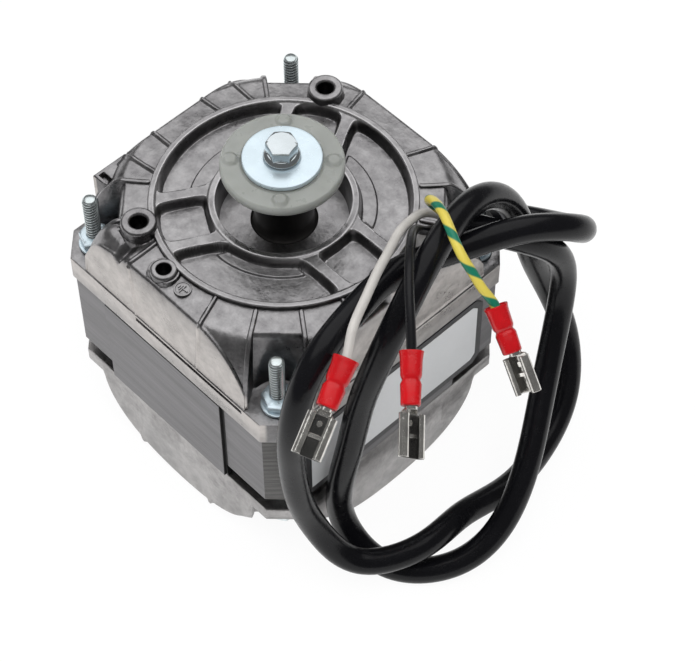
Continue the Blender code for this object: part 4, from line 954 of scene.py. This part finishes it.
boltHead = hexBody("hubBoltHead", (0, 0), bolt["flats"], boltLow + 0.7, boltLow + bolt["headTop"], 0.0,
                   boltPlate, bolt["turn"])
rotorPieces.append((boltHead, "hub_bolt", "bright_zinc"))
for piece, nodeName, slotName in rotorPieces:
    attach(piece, "rotor")
    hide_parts(nodeName)
print("hub made")


def flatSheet(name, place, thick, y0, y1, z0, z1, cut, mat):
    # rectangle in Y and Z with two cut corners, pushed along X by its thickness
    outline = np.array([(y0, z0), (y1 - cut, z0), (y1, z0 + cut), (y1, z1 - cut), (y1 - cut, z1), (y0, z1)])
    n = len(outline)
    near = np.column_stack([np.full(n, place), outline])
    far = np.column_stack([np.full(n, place + thick), outline])
    rim = [[i, (i + 1) % n, n + (i + 1) % n, n + i] for i in range(n)]
    return meshFrom(name, np.vstack([near, far]), [list(range(n))[::-1], list(range(n, 2 * n))] + rim, mat)


labelFilm = softPlastic("labelFilm", (0.02, 0.02, 0.022), 0.4)
labelFoil = softPlastic("labelFoil", (0.60, 0.61, 0.62), 0.38, 0.05, 900, 0.03)
labelSheets = {   # X of the inner side, thickness, from and to along Y, from and to along Z, cut corner
    "plateFilm": (41.45, 0.18, -33, 30.5, 29.5, 57, 2.5, labelFilm),
    "plateFoil": (41.63, 0.08, -30.5, 28.5, 32, 55, 1.6, labelFoil)}
for sheetName, sheetValues in labelSheets.items():
    piece = flatSheet(sheetName, *sheetValues)
    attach(piece, "stator")
    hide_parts("rating_label")

cableRoute = [
    (26, 44, 61), (26.1, 47.5, 61), (36.5, 56.5, 60.5), (49.5, 55, 70.5), (56.5, 47, 84), (51.5, 33.5, 91),
    (44.5, 18, 91), (39.5, 1.5, 92), (41, -15.5, 92.5), (44.5, -32, 90), (46, -40, 76), (45.5, -40.5, 58.5),
    (46, -39, 41.5), (48.5, -35.5, 25.5), (57.5, -29.5, 13.5), (66, -15, 14), (65, 1.5, 10), (65.5, 18, 5.5),
    (63, 35, 5), (57.5, 49.5, 10.5), (49, 57, 23), (42.5, 55.5, 38.5), (41, 50, 54.5), (40.5, 45, 71),
    (39, 38.5, 87), (40, 26, 97.5), (44.5, 9, 99.5), (49.5, -6.5, 95), (50, -15.5, 82), (48, -19.5, 65.5),
    (47.5, -23, 48.5), (46.5, -25.5, 31.5), (48.5, -25, 15), (60, -21.5, 5), (72, -9, 5), (75, 5, 11),
    (71.5, 18, 22.5), (64, 30.5, 31), (56.5, 42.5, 41), (52, 49.5, 56), (51, 45, 71.5), (46, 34, 82.5),
    (34.5, 23, 88.4)]
wireRoutes = {
    "White": [(29.9, 20.5, 89.2), (31.3, 13.5, 93.6), (34, 6.5, 97), (37.5, -0.5, 99), (40.5, -7, 100),
              (44, -14.5, 99.5), (47, -21.5, 97), (50, -26, 94.5), (52.3, -31.3, 92)],
    "Black": [(34.1, 17.5, 88.6), (34.6, 13.3, 93), (36.5, 9, 98), (41.5, 3, 102.5), (47.5, -3.5, 105),
              (52.5, -8.5, 105), (57, -12.5, 103), (61.5, -16.5, 100), (65.4, -20.4, 97.4)],
    "Earth": [(32.6, 20.5, 94), (32.8, 18, 98.8), (36.5, 16, 103), (42.5, 13, 106), (47.5, 10.5, 106),
              (53, 8.5, 104), (56.5, 8.5, 101), (60, 8.5, 98), (63.5, 9, 95), (67.3, 8, 91.8)]}


def smoothLine(route, count):
    # natural cubic through the route's points, its bends from one set of linear equations, read at even steps
    knots = np.array(route, float)
    step = np.diff(knots, axis=0)
    t = np.concatenate([[0.0], np.cumsum(np.sqrt(np.linalg.norm(step, axis=1)))])
    n, h = len(knots), np.diff(t)
    rule, pull = np.zeros((n, n)), np.zeros((n, 3))
    rule[0, 0] = rule[-1, -1] = 1.0
    i = np.arange(1, n - 1)
    rule[i, i - 1], rule[i, i], rule[i, i + 1] = h[:-1], 2 * (h[:-1] + h[1:]), h[1:]
    pull[1:-1] = 6 * (step[1:] / h[1:, None] - step[:-1] / h[:-1, None])
    bend = np.linalg.solve(rule, pull)
    fine = []
    for k in range(n - 1):
        u = np.linspace(0, h[k], 24, endpoint=(k == n - 2))[:, None]
        w = h[k] - u
        curve = (bend[k] * w ** 3 + bend[k + 1] * u ** 3) / (6 * h[k])
        near = (knots[k] / h[k] - bend[k] * h[k] / 6) * w
        fine.append(curve + near + (knots[k + 1] / h[k] - bend[k + 1] * h[k] / 6) * u)
    fine = np.concatenate(fine)
    run = runOf(fine)
    at = np.linspace(0, run[-1], count)
    return np.stack([np.interp(at, run, fine[:, k]) for k in range(3)], 1)


def runOf(line):
    # length run along the line at each of its points
    return np.concatenate([[0.0], np.cumsum(np.linalg.norm(np.diff(line, axis=0), axis=1))])


def steadyFrames(line):
    # two side vectors carried along the line with least twist: the last one less its part along the tangent
    tangent = np.gradient(line, axis=0)
    tangent /= np.linalg.norm(tangent, axis=1)[:, None]
    side = np.cross(tangent[0], (0.0, 0.3, 1.0))
    sides = []
    for t in tangent:
        side = side - t * np.dot(side, t)
        side = side / np.linalg.norm(side)
        sides.append(side)
    sides = np.array(sides)
    return sides, np.cross(tangent, sides)


def tubeAlong(name, line, radius, steps, mat, turnLength=9.5):
    # circle carried along the line; U counts turns of turnLength, V goes once round; the ends run in to the
    # middle and the doubled column is welded
    side, lift = steadyFrames(line)
    angle = 2 * pi * np.arange(steps + 1) / steps
    circle = side[:, None] * np.cos(angle)[None, :, None] + lift[:, None] * np.sin(angle)[None, :, None]
    ends = np.array([0.02, 0.9])[:, None, None]
    points = np.concatenate([line[0] + radius * ends * circle[0], line[:, None] + radius * circle,
                             line[-1] + radius * ends[::-1] * circle[-1]])
    run = np.pad(runOf(line), 2, 'edge')
    uv = np.stack(np.broadcast_arrays(run[:, None] / turnLength, (angle / (2 * pi))[None]), -1).reshape(-1, 2)
    obj = gridMesh(name, points, closeCols=False, mat=mat, uv=uv, sharp=60)
    weld = obj.modifiers.new("seam", 'WELD')
    weld.merge_threshold = 1e-6
    return obj


sheathLine = smoothLine(cableRoute, 520)
cordRadius = {"sheath": 3.5, "wire": 1.2}
wireLead = 0.9   # the wires start this far past the sheath's end
cuffBack = 6.0   # the frame of sleeve and terminal starts this far back along the wire
sheath = tubeAlong("cableSheath", sheathLine, cordRadius["sheath"], 28, sheathBlack)
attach(sheath, "stator")
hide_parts("cable_sheath")

tip = sheathLine[-1]
heading = sheathLine[-1] - sheathLine[-8]
heading /= np.linalg.norm(heading)
outward = np.cross(heading, (0, 0, 1.0))
outward /= np.linalg.norm(outward)
upward = np.cross(outward, heading)
wireStart = {"White": (1.5, -0.85), "Black": (-1.5, -0.85), "Earth": (0.0, 1.75)}
wireMats = {"White": wireWhiteFinish, "Black": wireBlackFinish, "Earth": wireEarthFinish}
viewSide = np.array([0.42, -0.4, 0.81])
wirePieces, wireEnds = {}, {}
for key, route in wireRoutes.items():
    sideways, rise = wireStart[key]
    start = tip + heading * wireLead + outward * sideways + upward * rise
    line = smoothLine([tuple(start)] + route, 150)
    wire = tubeAlong("coreWire" + key, line, cordRadius["wire"], 18, wireMats[key])
    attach(wire, "stator")
    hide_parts("wire_" + key.lower())
    along = line[-1] - line[-12]
    wirePieces[key] = (wire, line)
    wireEnds[key] = (line[-1], along / np.linalg.norm(along))


def endFrame(key):
    # X runs on from the wire, Z faces the terminals' open side
    end, along = wireEnds[key]
    normal = viewSide - along * np.dot(viewSide, along)
    normal /= np.linalg.norm(normal)
    across = np.cross(normal, along)
    return end - along * cuffBack, np.stack([along, across, normal])


endFittings = {   # start and end of sleeve and socket along the wire's end, roll in degrees, shift across
    "White": {"wide": 0.97, "sleeve": (0.7, 13.0), "socket": (15.0, 25.4), "roll": 4, "shift": 0.0,
              "shade": 0.8},
    "Black": {"wide": 0.86, "sleeve": (0.9, 13.6), "socket": (15.4, 25.6), "roll": -42, "shift": 0.2,
              "shade": 0.6},
    "Earth": {"wide": 0.88, "sleeve": (1.6, 13.4), "socket": (14.6, 23.8), "roll": 44, "shift": 0.4,
              "shade": 0.25}}
sleeveStops = [   # share of the length, half width, half height
    (0, 3.35, 2.75), (0.02, 3.4, 2.8), (0.07, 3.25, 2.65), (0.16, 3.1, 2.5), (0.44, 2.95, 2.4),
    (0.485, 2.75, 2.2), (0.51, 2.5, 1.95), (0.54, 2.5, 1.95), (0.57, 2.75, 2.2), (0.61, 2.95, 2.3),
    (0.84, 2.85, 2.15), (0.96, 2.75, 2.1), (0.995, 2.65, 2.0), (1.0, 2.45, 1.85), (0.985, 2.0, 1.6),
    (0.92, 1.85, 1.5), (0.1, 1.9, 1.6), (0.03, 2.7, 2.2), (0.0, 3.15, 2.6)]


def sleeve(name, key):
    # ellipse carried along X: flared mouth, one pressed nick, flattened tail, then back through the bore
    x0, x1 = endFittings[key]["sleeve"]
    share, halfY, halfZ = np.array(sleeveStops).T[:, :, None]
    angle = evenTurn(64)
    co, si = np.cos(angle), np.sin(angle)
    squared = 1 / (np.abs(co) ** 3 + np.abs(si) ** 3) ** (1 / 3) * 0.6 + 0.4
    pinch = endFittings[key]["wide"] - 0.07 * np.exp(-((share - 0.76) / 0.06) ** 2) * (co ** 4)
    along = x0 + share * (x1 - x0) + 0 * angle
    local = np.stack([along, halfY * co * squared * pinch, halfZ * si * squared], -1)
    origin, axes = endFrame(key)
    return gridMesh(name, origin + local @ axes, closeRows=True, mat=sleeveRed, sharp=60)


def rolledFrame(key):
    # the sleeve's frame turned about the wire and shifted across it
    origin, axes = endFrame(key)
    a = radians(endFittings[key]["roll"])
    turn = np.array([(1, 0, 0), (0, cos(a), sin(a)), (0, -sin(a), cos(a))])
    return origin + endFittings[key]["shift"] * axes[1], turn @ axes


tab = {   # the two neck lists: place along from the sleeve's end and from the socket's start, half width
    "halfWidth": 3.75, "sheet": 0.42, "height": 2.5, "low": -1.0, "floor": -0.62, "edge": 0.09,
    "neckBack": ((-2, 1.3), (0.5, 1.35)), "neckFront": ((-0.3, 2.6), (0.2, 2.7)),
    "barrel": (1.5, 1.3), "barrelFrom": 7.0, "barrelPast": 0.9,
    "wing": ((1.2, 0.0), (1.55, 0.0), (1.75, 1.1), (1.5, 1.4), (1.35, 1.0)), "wingPast": 0.7,
    "wingShort": 0.2, "wingLow": -0.9, "stripHalf": (0.5, 2.0), "stripTop": 0.1,
    "stop": 0.75, "stopFrom": 2.1, "stopTop": -0.2}


def pressed(name, outline, start, end, key, flat=False, lift=0.0, paintedLight=None):
    # section in Y and Z drawn out along X, or an outline in X and Y given a thickness
    outline = np.array(outline, float)
    n = len(outline)
    if flat:
        low = np.column_stack([outline, np.full(n, start)])
        high = np.column_stack([outline, np.full(n, end)])
    else:
        low = np.column_stack([np.full(n, start), outline])
        high = np.column_stack([np.full(n, end), outline])
    local = np.vstack([low, high]) + np.array((0, 0, lift))
    origin, axes = rolledFrame(key)
    rim = [[i, n + i, n + (i + 1) % n, (i + 1) % n] for i in range(n)]
    faces = [list(range(n)), list(range(n, 2 * n))[::-1]] + rim
    obj = meshFrom(name, origin + local @ axes, faces, tinPlate)
    # painted shade on the inner faces, by the given values
    if paintedLight is not None:
        givePaintedLight(obj, np.tile(paintedLight, 2))
    bevel = obj.modifiers.new("edge", 'BEVEL')
    bevel.width = tab["edge"] * mm
    bevel.segments = 2
    bevel.limit_method = 'ANGLE'
    return obj


def curledSection(halfWidth, sheet, height):
    # floor with both sides curled up and over towards the middle, one closed outline, with painted shade
    # inside
    radius = height / 2
    a = np.linspace(-pi / 2, pi * 0.78, 16)
    curl = np.stack([np.cos(a), np.sin(a)], 1)
    centre = (halfWidth - radius, radius)
    half = np.concatenate([[(0, 0)], centre + radius * curl, centre + (radius - sheet) * curl[::-1],
                           [(0, sheet)]])
    shade = np.repeat((0.0, -1.0), 17)
    return np.concatenate([half, (half * (-1, 1))[::-1][1:-1]]), np.concatenate([shade, shade[::-1][1:-1]])


def terminalPieces(k, key):
    # folded socket, neck plate, barrel under the sleeve, bent wings, cross strip and stop of one terminal
    x0, x1 = endFittings[key]["socket"]
    y1 = endFittings[key]["sleeve"][1]
    section, shade = curledSection(tab["halfWidth"], tab["sheet"], tab["height"])
    shade = shade * endFittings[key]["shade"]
    low, floor = tab["low"], tab["floor"]
    shell = pressed("tabSocket%d" % k, section, x0, x1, key, lift=low, paintedLight=shade)
    side = np.concatenate([np.array(tab["neckBack"]) + (y1, 0), np.array(tab["neckFront"]) + (x0, 0)])
    neckOutline = np.concatenate([side * (1, -1), side[::-1]])
    neck = pressed("tabNeck%d" % k, neckOutline, low, low + tab["sheet"], key, flat=True)
    angle = evenTurn(24)
    circle = np.stack([np.cos(angle), np.sin(angle)], 1)
    barrel = pressed("tabBarrel%d" % k, circle * tab["barrel"], tab["barrelFrom"], y1 + tab["barrelPast"],
                     key)
    wings = []
    for sign, letter in ((-1, "a"), (1, "b")):
        wing = [(sign * across, rise) for across, rise in tab["wing"]]
        wings.append(pressed("tabWing%d%s" % (k, letter), wing[::sign], y1 + tab["wingPast"],
                             x0 - tab["wingShort"], key, lift=tab["wingLow"]))
    middle = (x0 + x1) / 2
    halfX, halfY = tab["stripHalf"]
    bar = [(middle - halfX, -halfY), (middle + halfX, -halfY), (middle + halfX, halfY),
           (middle - halfX, halfY)]
    strip = pressed("tabStrip%d" % k, bar, floor, tab["stripTop"], key, flat=True)
    stop = circle * tab["stop"] + (x0 + tab["stopFrom"], 0)
    dimple = pressed("tabDimple%d" % k, stop, floor, tab["stopTop"], key, flat=True)
    return [shell, neck, barrel, strip, dimple] + wings


for k, key in enumerate(("White", "Black", "Earth"), 1):
    cuff = sleeve("redSleeve%d" % k, key)
    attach(cuff, "stator")
    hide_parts("sleeve_%d" % k)
    metal = terminalPieces(k, key)
    for piece in metal:
        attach(piece, "stator")
        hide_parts("terminal_%d" % k)
    wire, line = wirePieces[key]

gland = {"place": (26.0, 42.3, 61.0), "radius": 6, "long": 3.8, "mouth": (3.9, 1.2)}
glandProfile = [(0.05, 0), (gland["radius"], 0), (gland["radius"], 1.4), (5.4, gland["long"]),
                (4.7, gland["long"]), gland["mouth"], (0.05, gland["mouth"][1])]
glandPiece = turned("cableGland", rounded(glandProfile, 0.4, 4), 72, glandRubber)
standing = Matrix.Rotation(-pi / 2, 4, 'X')   # its axis turned from +Z to +Y
glandPiece.data.transform(Matrix.Translation(Vector(gland["place"]) * mm) @ standing)
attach(glandPiece, "stator")
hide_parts("cable_gland")


floorGlow = {"camera": 0.93, "glossy": 0.45}   # share of plain white


def whiteFloor():
    # lit by the lamps, so that it keeps the shadow, mixed with plain white to the camera and in reflections
    f = Finish("paleFloor")
    out = [n for n in f.tree.nodes if n.type == 'OUTPUT_MATERIAL'][0]
    f.fixed(Base_Color=(0.85, 0.85, 0.85, 1), Roughness=0.7)
    glow = f.node('ShaderNodeEmission')
    glow.inputs[0].default_value = (1, 1, 1, 1)
    glow.inputs[1].default_value = 1.0
    path = f.node('ShaderNodeLightPath')
    mixer = f.node('ShaderNodeMixShader')
    seen = f.math('MULTIPLY', path.outputs['Is Camera Ray'], floorGlow["camera"])
    mirrored = f.math('MULTIPLY', path.outputs['Is Glossy Ray'], floorGlow["glossy"])
    f.join(f.math('ADD', seen, mirrored), mixer.inputs[0])
    f.join(f.shader.outputs[0], mixer.inputs[1])
    f.join(glow.outputs[0], mixer.inputs[2])
    f.join(mixer.outputs[0], out.inputs[0])
    return f.mat


floorMesh = bpy.data.meshes.new("paleFloor")
floorHalf = 3
floorCorners = [(x * floorHalf, y * floorHalf, 0) for x, y in ((-1, -1), (1, -1), (1, 1), (-1, 1))]
floorMesh.from_pydata(floorCorners, [], [(0, 1, 2, 3)])
floorObj = bpy.data.objects.new("paleFloor", floorMesh)
bpy.context.scene.collection.objects.link(floorObj)
floorMesh.materials.append(whiteFloor())
